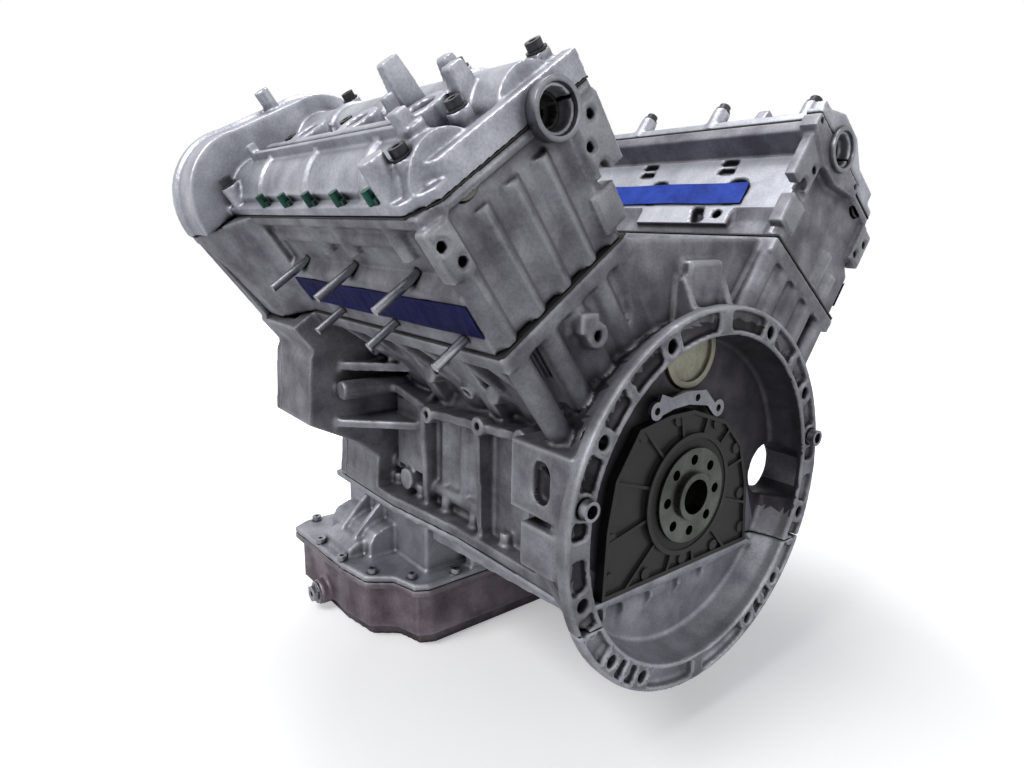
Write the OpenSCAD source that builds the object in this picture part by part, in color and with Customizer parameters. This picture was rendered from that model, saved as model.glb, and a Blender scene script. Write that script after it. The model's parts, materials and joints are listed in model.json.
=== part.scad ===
// Six-cylinder V diesel engine as a bare long block.
// The crank axis runs along Y. Y = 0 is the rear face of the crankshaft flange,
// +Y points to the front of the engine and +Z is up.
// A bank is drawn in its own directions: X away from the middle of the engine,
// Z along the cylinders, and is then tilted by half the V angle.

/* [Cylinders] */
// Cylinder bore
bore = 83; // [80:1:84]
// Piston stroke
stroke = 92; // [86:1:94]
// Distance between neighbouring bores of one bank
cyl_pitch = 106; // [105:1:110]
// Tilt of each bank from the vertical
half_v = 36; // [35:0.5:37]
// How far the right bank sits behind the left one
bank_offset = 16; // [14:1:17]
// Rear cylinder of the left bank, ahead of the crankshaft flange
rear_cyl = 89; // [88:1:92]
// Connecting-rod length between its eyes, which sets the pistons' height
rod_len = 163; // [160:1:165]
// Crank axis to the top deck of a bank, along the cylinder
deck_h = 256; // [254:1:260]
// Wall of a cylinder liner
liner_wall = 3; // [2.5:0.5:4]
// Length of a cylinder liner
liner_len = 146; // [140:1:150]

/* [Crankshaft] */
// Main journal diameter
main_d = 76; // [70:1:78]
// Crankpin diameter
pin_d = 64; // [60:1:68]
// Width of a main bearing
main_w = 24; // [20:1:26]
// Angle between the two pins of one throw
pin_split = 48; // [40:1:56]
// Diameter of the flywheel flange
flange_d = 94.6; // [92:0.2:98]
// Thickness of the flywheel flange
flange_t = 12; // [10:1:13]
// Bolt circle of the flywheel
flywheel_pcd = 72; // [68:1:74]
// Flywheel bolt hole diameter
flywheel_hole_d = 10.2; // [8.5:0.1:11]
// Number of flywheel bolts
flywheel_bolts = 8; // [6:1:8]
// Pilot bore diameter in the flange
pilot_d = 35; // [30:1:38]
// Depth of the pilot bore
pilot_len = 24; // [18:1:30]
// Height of the rim around the pilot bore
pilot_rim = 5; // [3:1:6]
// Radius of the counterweights
counterweight_r = 80; // [76:1:82]
// Diameter of the crankshaft's front nose
nose_d = 34; // [32:1:36]
// Diameter of the seat behind it, for sprocket and seal
nose_seat_d = 37; // [36.5:0.5:39]
// Clearance of a shaft in its bearing, on the radius
bearing_gap = 0.05; // [0.02:0.01:0.09]
// Clearance of a piston in its cylinder, on the radius
piston_gap = 0.35; // [0.3:0.05:0.45]
// Play of the crankshaft's webs beside the bearings
side_play = 0.5; // [0.3:0.1:0.8]

/* [Gearbox flange] */
// How far the gearbox face lies behind the crankshaft flange
bell_depth = 23.5; // [20:0.5:27]
// Outer radius of the gearbox flange
bell_r = 185; // [183:1:188]
// Radial width of the gearbox flange
bell_rim = 27; // [25:1:29]
// Radius on which the gearbox bolts lie
bell_bolt_r = 171; // [170:1:172]
// Thickness of the gearbox flange
bell_flange_t = 13; // [11:1:15]
// Gearbox bolt hole diameter
bell_hole_d = 12.5; // [10:0.5:13]
// Outside diameter of a dowel sleeve
dowel_d = 17; // [15:1:18]
// Diameter of the same sleeve inside its hole
dowel_seat_d = 15.8; // [14:0.1:16.4]
// Starter opening diameter
starter_d = 57; // [50:1:60]
// Block's rear wall, ahead of the crankshaft flange
rear_wall_y = 14.5; // [13.5:0.5:15.5]
// Thickness of the block's rear wall
rear_wall_t = 12; // [10:1:13]

/* [Block] */
// Crank axis down to the oil-pan rail
rail_depth = 78; // [76:1:82]
// Half width of the oil-pan rail at the front
rail_half_w = 155; // [152:1:158]
// Half width of the oil-pan rail at the bell
rail_rear_w = 140; // [136:1:142]
// Thickness of the oil-pan rail
rail_t = 12; // [10:1:14]
// Half width of the crankcase walls
case_half_w = 120; // [117:1:124]
// Wall thickness of the crankcase
case_wall = 12; // [9:1:14]
// Radius of the water jacket around a bore
jacket_r = 58; // [56:1:60]
// Thickness of the deck
deck_t = 16; // [13:1:18]
// Front face of the cylinder part, where the chain case starts
case_back = 372; // [370:1:378]
// Front face of the chain case
case_front = 436; // [434:1:442]
// Height of the balance shaft above the crank axis
balance_h = 139; // [137:1:142]
// Diameter of the balance shaft's tunnel
balance_bore = 66; // [62:1:68]
// Diameter of the core plug behind the balance shaft
core_plug_d = 71; // [70:1:74]

/* [Cylinder heads] */
// Thickness of a head gasket
head_gasket_t = 1.6; // [1.2:0.1:2]
// Height of a cylinder head
head_h = 118.4; // [114:0.2:122]
// Rear face of the left head, ahead of the crankshaft flange
head_rear = 12.5; // [11:0.5:14]
// Outboard half width of a head
head_out = 88; // [86:1:90]
// Inboard half width of a head
head_in = 90; // [88:1:92]
// Outboard half width of the deck and its gasket
deck_out = 92; // [90:1:95]
// Inboard half width of the deck and its gasket
deck_in = 64; // [62:1:67]
// Distance of a camshaft from the middle of the head
cam_o = 44; // [43:0.5:45]
// Camshaft journal diameter
cam_journal_d = 26; // [24:1:28]
// Radius of a cam's base circle
cam_base_r = 16; // [15:0.5:17]
// Lift of a cam lobe
cam_lift = 7.5; // [6:0.5:8]
// Radius of the space around a camshaft
gallery_r = 27; // [25.5:0.5:29]

/* [Covers] */
// Thickness of a cover gasket
cover_gasket_t = 1.2; // [0.8:0.1:1.6]
// Thickness of a cam cover's flange
cover_flange_t = 9; // [8:1:11]
// Outer radius of the round barrel over a camshaft
barrel_r = 36; // [34:1:37]
// Height of the dome over the cam sprockets, above the head
dome_h = 70; // [66:1:74]
// Length of the dome along the engine
dome_len = 54; // [52:1:58]
// Outside diameter of the collar round a camshaft's rear end
collar_d = 39; // [37:1:40]
// Thickness of the front timing cover
front_cover_t = 16; // [14:1:20]

/* [Oil pan] */
// Rail down to the flange between the upper and lower pan
pan_drop = 80; // [76:1:84]
// Lower pan's depth below that flange
sump_depth = 80; // [74:1:86]
// Wall thickness of the upper and lower pan
pan_wall = 6; // [5:0.5:7]
// Thickness of the pan flanges
pan_flange_t = 8; // [7:1:10]
// Depth of the shallow part of the upper pan
tray_depth = 26; // [22:1:30]
// Drain plug diameter
drain_d = 22; // [18:1:24]

/* [Fasteners] */
// Exhaust stud diameter
stud_d = 8; // [6:0.5:9]
// Length of an exhaust stud outside the head
stud_len = 34; // [28:1:38]
// Diameter of the cover screw heads
screw_head_d = 13; // [11:0.5:14]
// Head bolt shank diameter
head_bolt_d = 12; // [10:0.5:13]

/* [Hidden] */
$fn = 48;
LEFT = -1;
RIGHT = 1;
SIDES = [LEFT, RIGHT];
CYLS = [0, 1, 2];
MAINS = [0, 1, 2, 3];
over = 1;
case_in = 98;
big = 600;
crank_r = stroke / 2;
liner_r = bore / 2 + liner_wall;
rail_z = -rail_depth;
head_z = deck_h + head_gasket_t;
seam_z = head_z + head_h;
cover_z = seam_z + cover_gasket_t;
flange2_z = rail_z - pan_drop;
bell_y = -bell_depth;
bell_in_r = bell_r - bell_rim;
rear_inner_y = rear_wall_y + rear_wall_t;

function shift(s) = s > 0 ? -bank_offset : 0;
function cyl_y(s, i) = rear_cyl + shift(s) + i * cyl_pitch;
function mid_y(i) = rear_cyl - bank_offset / 2 + i * cyl_pitch;
function main_y(i) = mid_y(i) - cyl_pitch / 2;
function bank_rear(s) = head_rear + shift(s);
// A point of a bank, given outboard and up the cylinder, in the engine's X and Z
function bank_x(s, o, h) = s * (h * sin(half_v) + o * cos(half_v));
function bank_z(o, h) = h * cos(half_v) - o * sin(half_v);

module bank(s) mirror([s < 0 ? 1 : 0, 0, 0]) rotate([0, half_v, 0]) children();
module box(a, b) translate(a) cube(b - a);
// A profile drawn in X and Z, pulled along Y
module along_y(y0, y1) translate([0, y1, 0]) rotate([90, 0, 0]) linear_extrude(y1 - y0) children();
// A profile drawn in Y and Z, pulled along X
module along_x(x0, x1) translate([x0, 0, 0]) rotate([90, 0, 90]) linear_extrude(x1 - x0) children();
module rod_y(x, z, r, y0, y1) translate([x, y0, z]) rotate([-90, 0, 0]) cylinder(r = r, h = y1 - y0);
module rod_x(y, z, r, x0, x1) translate([x0, y, z]) rotate([0, 90, 0]) cylinder(r = r, h = x1 - x0);
module rod_z(x, y, r, z0, z1) translate([x, y, z0]) cylinder(r = r, h = z1 - z0);
module slab(points, z0, z1) translate([0, 0, z0]) linear_extrude(z1 - z0) polygon(points);
// A plate standing across the engine at y, outlined in X and Z
module fin(points, y, t) along_y(y - t / 2, y + t / 2) polygon(points);
module both_sides(points) union() { polygon(points); mirror([1, 0]) polygon(points); }

// Crankcase and cylinder block

rib_t = 8;
frame_half_w = case_half_w + 22;
bank_foot = 70;
bell_tail = 64;

module crankcase_profile() both_sides([[0, rail_z], [case_half_w, rail_z], [case_half_w, 55], [case_half_w - 16, 77],
    [0, balance_h]]);
// Edge of the oil-pan rail, narrow at the bell and wide towards the front
function rail_plan(front) = [for (s = SIDES, p = s > 0 ? [[rail_rear_w, rear_inner_y], [rail_rear_w + 2, 190],
    [rail_half_w, 310], [rail_half_w, front]] : [[rail_half_w, front], [rail_half_w, 310], [rail_rear_w + 2, 190],
    [rail_rear_w, rear_inner_y]]) [s * p[0], p[1]]];
rail_boss_places = [for (y = [74 : 54 : 400]) y];
// Top and bottom edge of the long rib on the crankcase side, along the engine
side_rib = [[26, 66], [85, 65], [246, 53], [318, 66], [392, 60], [392, 50], [318, 56], [246, 43], [85, 55], [26, 56]];
side_bosses = [[85, 60], [151, 57], [246, 47]];

module crankcase() {
    along_y(rear_wall_y, case_back) crankcase_profile();
    slab(rail_plan(case_front), rail_z, rail_z + rail_t);
    for (s = SIDES) mirror([s < 0 ? 1 : 0, 0, 0]) {
        // Upright frames, one ahead of each main bearing
        for (i = MAINS)
            fin([[case_half_w - 4, rail_z], [frame_half_w - 6, rail_z + rail_t / 2], [frame_half_w, 50],
            [case_half_w - 4, 72]], main_y(i) + 26, rib_t);
        along_x(case_half_w - 6, frame_half_w + 1) polygon(side_rib);
        for (p = side_bosses) rod_x(p[0], p[1], 10, case_half_w - 4, frame_half_w + 6);
        for (p = [[120, 96], [230, 96]]) rod_x(p[0], p[1], 10, case_half_w - 10, frame_half_w + 11);
        // Bosses over the rail's screws
        for (y = rail_boss_places) rod_z(case_half_w + 5, y, 7, rail_z, rail_z + 26);
        // Wall between the second and third frame: two drillings over a round ledge
        rod_y(case_half_w, -46, 9, main_y(1) + 26, main_y(2) + 26);
        rod_z(case_half_w - 2, 246, 7, -46, 52);
        rod_z(case_half_w - 2, 206, 9, -46, 52);
        box([case_half_w - 4, 276, -34], [case_half_w + 12, 334, 50]);
        rod_x(304, -46, 13, case_half_w - 4, case_half_w + 20);
        rod_y(case_half_w + 2, -38, 8, 336, 392);
    }
}

module bank_casting(s) {
    for (i = CYLS)
        translate([0, cyl_y(s, i), bank_foot]) cylinder(r = jacket_r, h = deck_h - bank_foot, $fn = 64);
    box([-jacket_r + 8, bank_rear(s) + 8, bank_foot - 30], [jacket_r - 8, case_back, deck_h]);
    // Deck
    box([-deck_in, bank_rear(s), deck_h - deck_t], [deck_out, case_back, deck_h]);
    // Rear face columns, which carry on the ones of the head
    for (c = column_places)
        rod_z(c, bank_rear(s) + column_r, column_r, bank_foot + 40, deck_h);
    // Ribs from the outboard edge of the deck down to the crankcase
    for (i = [0:5])
        along_y_at(bank_rear(s) + 40 + i * cyl_pitch / 2, rib_t)
            polygon([[jacket_r - 14, bank_foot + 40], [deck_out - 4, deck_h - deck_t], [jacket_r - 14, deck_h - deck_t]]);
    // Flat drillings between the bores, and bosses with their own slanting drillings
    for (i = [0, 1]) box([40, cyl_y(s, i) + cyl_pitch / 2 - 9, bank_foot + 10],
            [jacket_r + 8, cyl_y(s, i) + cyl_pitch / 2 + 9, deck_h - deck_t]);
    for (b = slant_bosses) {
        rod_x(b[0] + shift(s), b[1], 9, 40, jacket_r + 14);
        tube([jacket_r + 4, b[0] + shift(s), b[1]], [jacket_r + 2, b[0] + b[2] + shift(s), b[1] + b[3]], 6);
    }
}
// Place along the engine and up the bank of each boss, and where its drilling goes from there
slant_bosses = [[159, 163, 38, 31], [337, 161, -6, 24], [331, 184, -62, -6]];
// Round bar between two points
module tube(a, b, r) translate(a) rotate([0, acos((b[2] - a[2]) / norm(b - a)), atan2(b[1] - a[1], b[0] - a[0])])
    cylinder(r = r, h = norm(b - a));
module along_y_at(y, t) along_y(y - t / 2, y + t / 2) children();

module valley() {
    // Tunnel of the balance shaft
    rod_y(0, balance_h, core_plug_d / 2 + 7, rear_wall_y - 2, case_back);
    // Rear wall of the valley, up to the inner corners of the two decks
    along_y(rear_wall_y, rear_wall_y + rear_wall_t)
        polygon([[bank_x(LEFT, 0, 120), bank_z(0, 120)], [bank_x(RIGHT, 0, 120), bank_z(0, 120)],
            [bank_x(RIGHT, -deck_in, deck_h - 4), bank_z(-deck_in, deck_h - 4)],
            [bank_x(LEFT, -deck_in, deck_h - 4), bank_z(-deck_in, deck_h - 4)]]);
    // Cross webs in the valley
    for (i = MAINS)
        along_y_at(main_y(i) + 4, 10)
            polygon([[-70, balance_h - 20], [70, balance_h - 20], [92, balance_h + 62], [60, balance_h + 42],
            [-60, balance_h + 42], [-92, balance_h + 62]]);
    // Raised boss and two gussets behind the valley wall, above the gearbox flange
    box([-24, rear_wall_y - 12, balance_h + 30], [24, rear_wall_y + 1, balance_h + 84]);
    for (x = [-30, 22])
        translate([x, 0, 0]) along_x(0, 8)
            polygon([[rear_wall_y + 2, balance_h + 70], [rear_wall_y - 10, balance_h + 70],
            [bell_y + bell_flange_t, bell_r - 8], [rear_wall_y + 2, bell_r - 20]]);
}

// Outside of the gearbox bell: radius against the distance from the crankshaft flange
bell_outer = [[bell_r, bell_y], [bell_r, bell_y + bell_flange_t], [bell_r - 9, bell_y + bell_flange_t + 6],
            [case_half_w + 32, bell_tail]];
module bell_solid() rotate([-90, 0, 0]) rotate_extrude($fn = 128)
    polygon(concat([[0, bell_y]], bell_outer, [[0, bell_tail]]));
module bell_hollow() rotate([-90, 0, 0]) rotate_extrude($fn = 128)
    polygon([[0, bell_y - over], [bell_in_r, bell_y - over], [bell_in_r, bell_y + bell_flange_t],
            [bell_in_r - 6, rear_wall_y], [0, rear_wall_y]]);
// Space behind the bell's front wall, beside the crankcase
module bell_back() rotate([-90, 0, 0]) rotate_extrude($fn = 128)
    polygon([[case_half_w - 20, rear_inner_y], [bell_in_r - 8, rear_inner_y],
            [case_half_w + 24, bell_tail + over], [case_half_w - 20, bell_tail + over]]);

// Directions of the gearbox bolts, in degrees from the top, the same on both sides
bell_angles = [25, 60, 107, 133, 151];
dowel_angle = 78;
module bell_at(a, r) translate([r * sin(a), 0, r * cos(a)]) children();
module bell_bosses(r) for (s = SIDES) {
    for (a = bell_angles) bell_at(s * a, bell_bolt_r) rod_y(0, 0, r, bell_y, bell_y + bell_flange_t);
    bell_at(s * dowel_angle, bell_bolt_r) rod_y(0, 0, r, bell_y, bell_y + bell_flange_t);
}
pocket_depth = 9;
lip = 5;
module bell_pockets() difference() {
    rotate([-90, 0, 0]) rotate_extrude($fn = 128)
        polygon([[bell_in_r + lip, bell_y - over], [bell_r - lip, bell_y - over],
            [bell_r - lip, bell_y + pocket_depth], [bell_in_r + lip, bell_y + pocket_depth]]);
    bell_bosses(13);
    for (a = [0, 90, 180, 270]) rotate([0, a, 0])
        translate([-9, bell_y - 2 * over, 0]) cube([18, bell_depth, bell_r]);
    for (s = SIDES, a = [44, 118, 142]) bell_at(s * a, bell_bolt_r) rod_y(0, 0, 6, bell_y, bell_y + bell_flange_t);
}
module bell_bolt_holes() for (s = SIDES, a = bell_angles)
    bell_at(s * a, bell_bolt_r) rod_y(0, 0, bell_hole_d / 2, bell_y - over, bell_y + bell_flange_t + 12);
module dowel_holes() for (s = SIDES) bell_at(s * dowel_angle, bell_bolt_r) {
    rod_y(0, 0, dowel_seat_d / 2, bell_y - over, bell_y + bell_flange_t + 2);
    rod_y(0, 0, dowel_d / 2 + 0.5, bell_y - over, bell_y + 1);
}

// Half space above or below the oil-pan rail
module above_rail() translate([-big, -big, rail_z]) cube([2 * big, 2 * big, big]);
module below_rail() translate([-big, -big, rail_z - big]) cube([2 * big, 2 * big, big]);

starter_x = 148;
starter_z = -8;
module bell_upper() {
    intersection() { bell_solid(); above_rail(); }
    rod_y(starter_x, starter_z, starter_d / 2 + 8, rear_wall_y - 20, rear_inner_y + 6);
    // Machined pad with the slotted recess on the left of the bell
    box([-bell_r + 12, bell_y + bell_flange_t, 12], [-case_half_w, bell_tail, 74]);
    // Square block beneath it
    box([-bell_r + 6, bell_y + 22, -34], [-case_half_w, bell_y + 66, 6]);
}

front_flare = [[0, rail_z], [rail_half_w, rail_z], [rail_half_w - 4, -28], [rail_half_w + 22, -6],
            [236, 24], [232, 98], [bank_x(RIGHT, deck_out + 28, 222), bank_z(deck_out + 28, 222)],
            [bank_x(RIGHT, deck_out + 30, deck_h), bank_z(deck_out + 30, deck_h)],
            [bank_x(RIGHT, -deck_in, deck_h), bank_z(-deck_in, deck_h)],
            [46, balance_h + 48], [0, balance_h + 44]];
module chain_case_block() {
    along_y(case_back - 22, case_front) both_sides(front_flare);
    // Flared wings that run back from the chain case along the crankcase
    for (s = SIDES) mirror([s < 0 ? 1 : 0, 0, 0]) {
        slab([[case_half_w - 6, case_back - 110], [200, case_back - 30], [222, case_back], [case_half_w - 6, case_back]],
            18, 28);
        slab([[case_half_w - 6, case_back - 90], [190, case_back - 30], [222, case_back], [case_half_w - 6, case_back]],
            84, 94);
        rod_x(case_back - 38, 64, 11, case_half_w, 204);
        rod_x(case_back - 6, 40, 12, case_half_w, 226);
    }
}
module chain_space() {
    wall = 9;
    along_y(case_back, case_front + over) both_sides([[0, rail_z - over], [rail_half_w - 30, rail_z - over],
        [rail_half_w - 30, 20], [180, 40], [200, 96],
        [bank_x(RIGHT, deck_out + 12, 222), bank_z(deck_out + 12, 222)],
        [bank_x(RIGHT, deck_out + 14, deck_h + over), bank_z(deck_out + 14, deck_h + over)],
        [bank_x(RIGHT, -deck_in + wall, deck_h + over), bank_z(-deck_in + wall, deck_h + over)],
        [46, balance_h + 48 - wall], [0, balance_h + 44 - wall]]);
}

column_r = 11;
// Columns on the rear faces of the block and of each head
column_places = [-52, -22, 10, 42, 76];
function head_columns(s) = s < 0 ? [for (c = column_places) [c, seam_z - 22]]
            : [[-54, seam_z - 60], [34, head_z + 46], [58, head_z + 34]];

module cylinder_block() color([0.66, 0.66, 0.67]) difference() {
    union() {
        crankcase();
        for (s = SIDES) bank(s) bank_casting(s);
        valley();
        bell_upper();
        chain_case_block();
        // Lug over the bell, at the foot of the left bank
        rod_y(-132, 165, 11, rear_wall_y - 10, rear_wall_y + 20);
        box([-150, rear_wall_y - 9, 166], [-130, rear_wall_y + 16, 184]);
    }
    bell_hollow();
    difference() { bell_back(); crankcase_side_blocks(); }
    difference() { bell_pockets(); below_rail(); }
    bell_bolt_holes();
    dowel_holes();
    rod_y(starter_x, starter_z, starter_d / 2, rear_wall_y - 30, bell_tail + over);
    // Slotted recess on the left pad
    for (z = [34, 52]) rod_x(24, z, 10, -bell_r, -bell_r + 22);
    box([-bell_r, 14, 34], [-bell_r + 22, 34, 52]);
    rod_x(24, 52, 6, -bell_r, -case_half_w - 10);
    // Crank space between the main bearings, open to the oil pan
    for (i = CYLS)
        along_y(main_y(i) + main_w / 2, main_y(i + 1) - main_w / 2) crank_space();
    // Space in front of the last main bearing
    along_y(main_y(3) + main_w / 2, case_back + over) crank_space();
    for (i = MAINS) rod_y(0, 0, main_bore_r, main_y(i) - main_w / 2 - over, main_y(i) + main_w / 2 + over);
    rod_y(0, 0, main_bore_r, rear_wall_y - over, main_y(0));
    // Gaps that take the main bearing caps
    for (i = MAINS) along_y(main_y(i) - main_w / 2 - over, main_y(i) + main_w / 2 + over)
        polygon([[-cap_half_w, rail_z - over], [cap_half_w, rail_z - over], [cap_half_w, 0], [-cap_half_w, 0]]);
    for (s = SIDES) bank(s) for (i = CYLS) translate([0, cyl_y(s, i), 0]) {
        translate([0, 0, deck_h - liner_len]) cylinder(r = liner_r, h = liner_len + over, $fn = 96);
        translate([0, 0, crank_space_r - 20]) cylinder(r = liner_r - 2, h = deck_h - crank_space_r);
    }
    for (p = cap_bolt_places) rod_z(p[0], p[1], cap_bolt_r, -over, cap_bolt_top);
    // Balance shaft tunnel and the seat of its core plug
    rod_y(0, balance_h, balance_bore / 2, rear_inner_y - 2, case_back + over);
    rod_y(0, balance_h, core_plug_d / 2, rear_wall_y - 3, rear_inner_y - 2 + over);
    chain_space();
    for (s = SIDES) bank(s) for (p = head_bolt_places(s)) rod_z(p[0], p[1], head_bolt_d / 2, deck_h - 60, deck_h + over);
    for (s = SIDES, p = side_bosses) mirror([s < 0 ? 1 : 0, 0, 0]) rod_x(p[0], p[1], 4, case_half_w, frame_half_w + 8);
    for (s = SIDES) bank(s) for (b = slant_bosses) rod_x(b[0] + shift(s), b[1], 4.5, jacket_r, jacket_r + 20);
    rod_y(-132, 165, 4.5, rear_wall_y - 12, rear_wall_y + 10);
}
main_bore_r = main_d / 2 + bearing_gap;
cap_half_w = 74;
crank_space_r = 92;
module crank_space() union() {
    circle(r = crank_space_r, $fn = 96);
    polygon([[-case_half_w + case_wall, rail_z - over], [case_half_w - case_wall, rail_z - over],
            [case_half_w - case_wall, 20], [70, 60], [-70, 60], [-case_half_w + case_wall, 20]]);
}
module crankcase_side_blocks() {
    along_y(rear_wall_y, bell_tail + 2) crankcase_profile();
    for (s = SIDES) bank(s) box([-deck_in, bank_rear(s), bank_foot], [deck_out, bell_tail + 2, deck_h]);
}

// Four head bolts round each bore, shared by neighbours
bolt_o = 50;
function head_bolt_places(s) = [for (o = [-bolt_o, bolt_o], i = [0:3]) [o, cyl_y(s, 0) - cyl_pitch / 2 + i * cyl_pitch]];

module cylinder_liners() color([0.42, 0.42, 0.44]) for (s = SIDES) bank(s) for (i = CYLS)
    translate([0, cyl_y(s, i), deck_h - liner_len]) difference() {
        cylinder(r = liner_r, h = liner_len, $fn = 96);
        translate([0, 0, -over]) cylinder(r = bore / 2, h = liner_len + 2 * over, $fn = 96);
    }

module main_bearing_caps() color([0.4, 0.4, 0.42]) for (i = MAINS) difference() {
    along_y(main_y(i) - main_w / 2, main_y(i) + main_w / 2)
        polygon([[-cap_half_w, 0], [cap_half_w, 0], [cap_half_w, cap_foot], [46, cap_foot], [38, cap_bottom],
            [-38, cap_bottom], [-46, cap_foot], [-cap_half_w, cap_foot]]);
    rod_y(0, 0, main_bore_r, main_y(i) - main_w, main_y(i) + main_w);
    for (p = cap_bolt_places) rod_z(p[0], p[1], cap_bolt_r, cap_bottom - over, over);
}
cap_bottom = -64;
cap_foot = -38;
cap_bolt_r = 6;
cap_bolt_top = 34;
cap_bolt_places = [for (i = MAINS, x = [-58, 58]) [x, main_y(i)]];
module cap_bolts() color([0.3, 0.3, 0.32]) for (p = cap_bolt_places) {
    rod_z(p[0], p[1], cap_bolt_r, cap_foot, cap_bolt_top);
    rod_z(p[0], p[1], cap_bolt_r + 4, cap_foot - 9, cap_foot);
}

// Rear seal cover, seal, core plug and sleeves

seal_t = 7;
seal_out_r = flange_d / 2 + 9;
cover_outline = [[-113, rail_z + 1], [-111, -11], [-103, 35], [-75, 77], [-34, 84], [0, 84], [54, 65], [83, 36],
            [98, -8], [106, rail_z + 1]];
cover_bolts = [[-103, -58], [-103, -20], [-92, 40], [-68, 70], [-20, 77], [40, 64], [76, 32], [90, -20], [97, -60],
            [50, rail_z + 10], [0, rail_z + 10], [-54, rail_z + 10]];
module rear_seal_cover() color([0.13, 0.13, 0.14]) difference() {
    union() {
        along_y(rear_wall_y - seal_t, rear_wall_y) polygon(cover_outline);
        rod_y(0, 0, seal_out_r + 5, rear_wall_y - seal_t - 5, rear_wall_y);
        for (p = cover_bolts) rod_y(p[0], p[1], 6, rear_wall_y - seal_t - 2, rear_wall_y);
        // Rim round the edge and a ring of ribs from the seal outwards
        along_y(rear_wall_y - seal_t - 3, rear_wall_y) difference() {
            polygon(cover_outline);
            offset(delta = -4) polygon(cover_outline);
        }
        along_y(rear_wall_y - seal_t - 3, rear_wall_y) intersection() {
            polygon(cover_outline);
            for (a = [0:30:150]) rotate(a + 12) square([400, 3], center = true);
        }
    }
    rod_y(0, 0, seal_out_r, rear_wall_y - 20, rear_wall_y + over);
}
module rear_crank_seal() color([0.08, 0.08, 0.09]) difference() {
    rod_y(0, 0, seal_out_r, rear_wall_y - seal_t - 4, rear_wall_y);
    rod_y(0, 0, flange_d / 2 + bearing_gap, rear_wall_y - 20, rear_wall_y + over);
}
module core_plug() color([0.72, 0.72, 0.62]) difference() {
    rod_y(0, balance_h, core_plug_d / 2, rear_wall_y - 2, rear_inner_y - 2);
    rod_y(0, balance_h, core_plug_d / 2 - 6, rear_wall_y - 2 - over, rear_wall_y + 1);
}
bracket_t = 4;
bracket_lugs = [[-55, 91], [36, 81]];
module plug_bracket() color([0.6, 0.6, 0.58]) translate([0, rear_wall_y - seal_t - bracket_t, 0]) difference() {
    union() {
        along_y(0, bracket_t) polygon([bracket_lugs[0], [-50, 106], [-36, 101], [-16, 104], [14, 102], bracket_lugs[1],
            [30, 74], [18, 86], [-10, 91], [-32, 90], [-53, 85]]);
        for (p = bracket_lugs) rod_y(p[0], p[1], 8.5, 0, bracket_t);
    }
    for (p = concat(bracket_lugs, [[2, 96]])) rod_y(p[0], p[1], 3.6, -over, bracket_t + over);
}
module dowel_sleeves() color([0.55, 0.55, 0.56]) for (s = SIDES)
    bell_at(s * dowel_angle, bell_bolt_r) difference() {
        union() {
            rod_y(0, 0, dowel_d / 2, bell_y - 8, bell_y);
            rod_y(0, 0, dowel_seat_d / 2, bell_y - over, bell_y + bell_flange_t);
        }
        rod_y(0, 0, dowel_seat_d / 2 - 2.2, bell_y - 10, bell_y + bell_flange_t + over);
    }

// Cylinder heads and their gaskets

module deck_outline(s) difference() {
    polygon([[-deck_in, bank_rear(s)], [deck_out - 4, bank_rear(s)], [deck_out, bank_rear(s) + 4],
            [deck_out, case_back], [deck_out + 26, case_front], [-deck_in, case_front]]);
    for (i = CYLS) translate([0, cyl_y(s, i)]) circle(r = bore / 2 + 1, $fn = 96);
    for (p = head_bolt_places(s)) translate(p) circle(r = head_bolt_d / 2);
    polygon([[-deck_in + 9, case_back], [deck_out - 9, case_back], [deck_out + 12, case_front - over],
            [deck_out + 12, case_front + over], [-deck_in + 9, case_front + over]]);
}
module head_gasket(s) color([0.12, 0.12, 0.13]) bank(s)
    translate([0, 0, deck_h]) linear_extrude(head_gasket_t) deck_outline(s);

intake_face = 65;
exhaust_face = 90;
head_section = [[-deck_in + 6, head_z], [-deck_in + 6, head_z + 18], [-intake_face, head_z + 32],
            [-intake_face - 1, seam_z - 21], [-head_in, seam_z - 13], [-head_in, seam_z], [head_out, seam_z],
            [head_out - 2, seam_z - 10], [head_out - 12, seam_z - 18], [head_out - 12, head_z + 62],
            [exhaust_face, head_z + 54], [exhaust_face, head_z]];
front_out = 38;
case_side = deck_out + front_out - 12;
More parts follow.
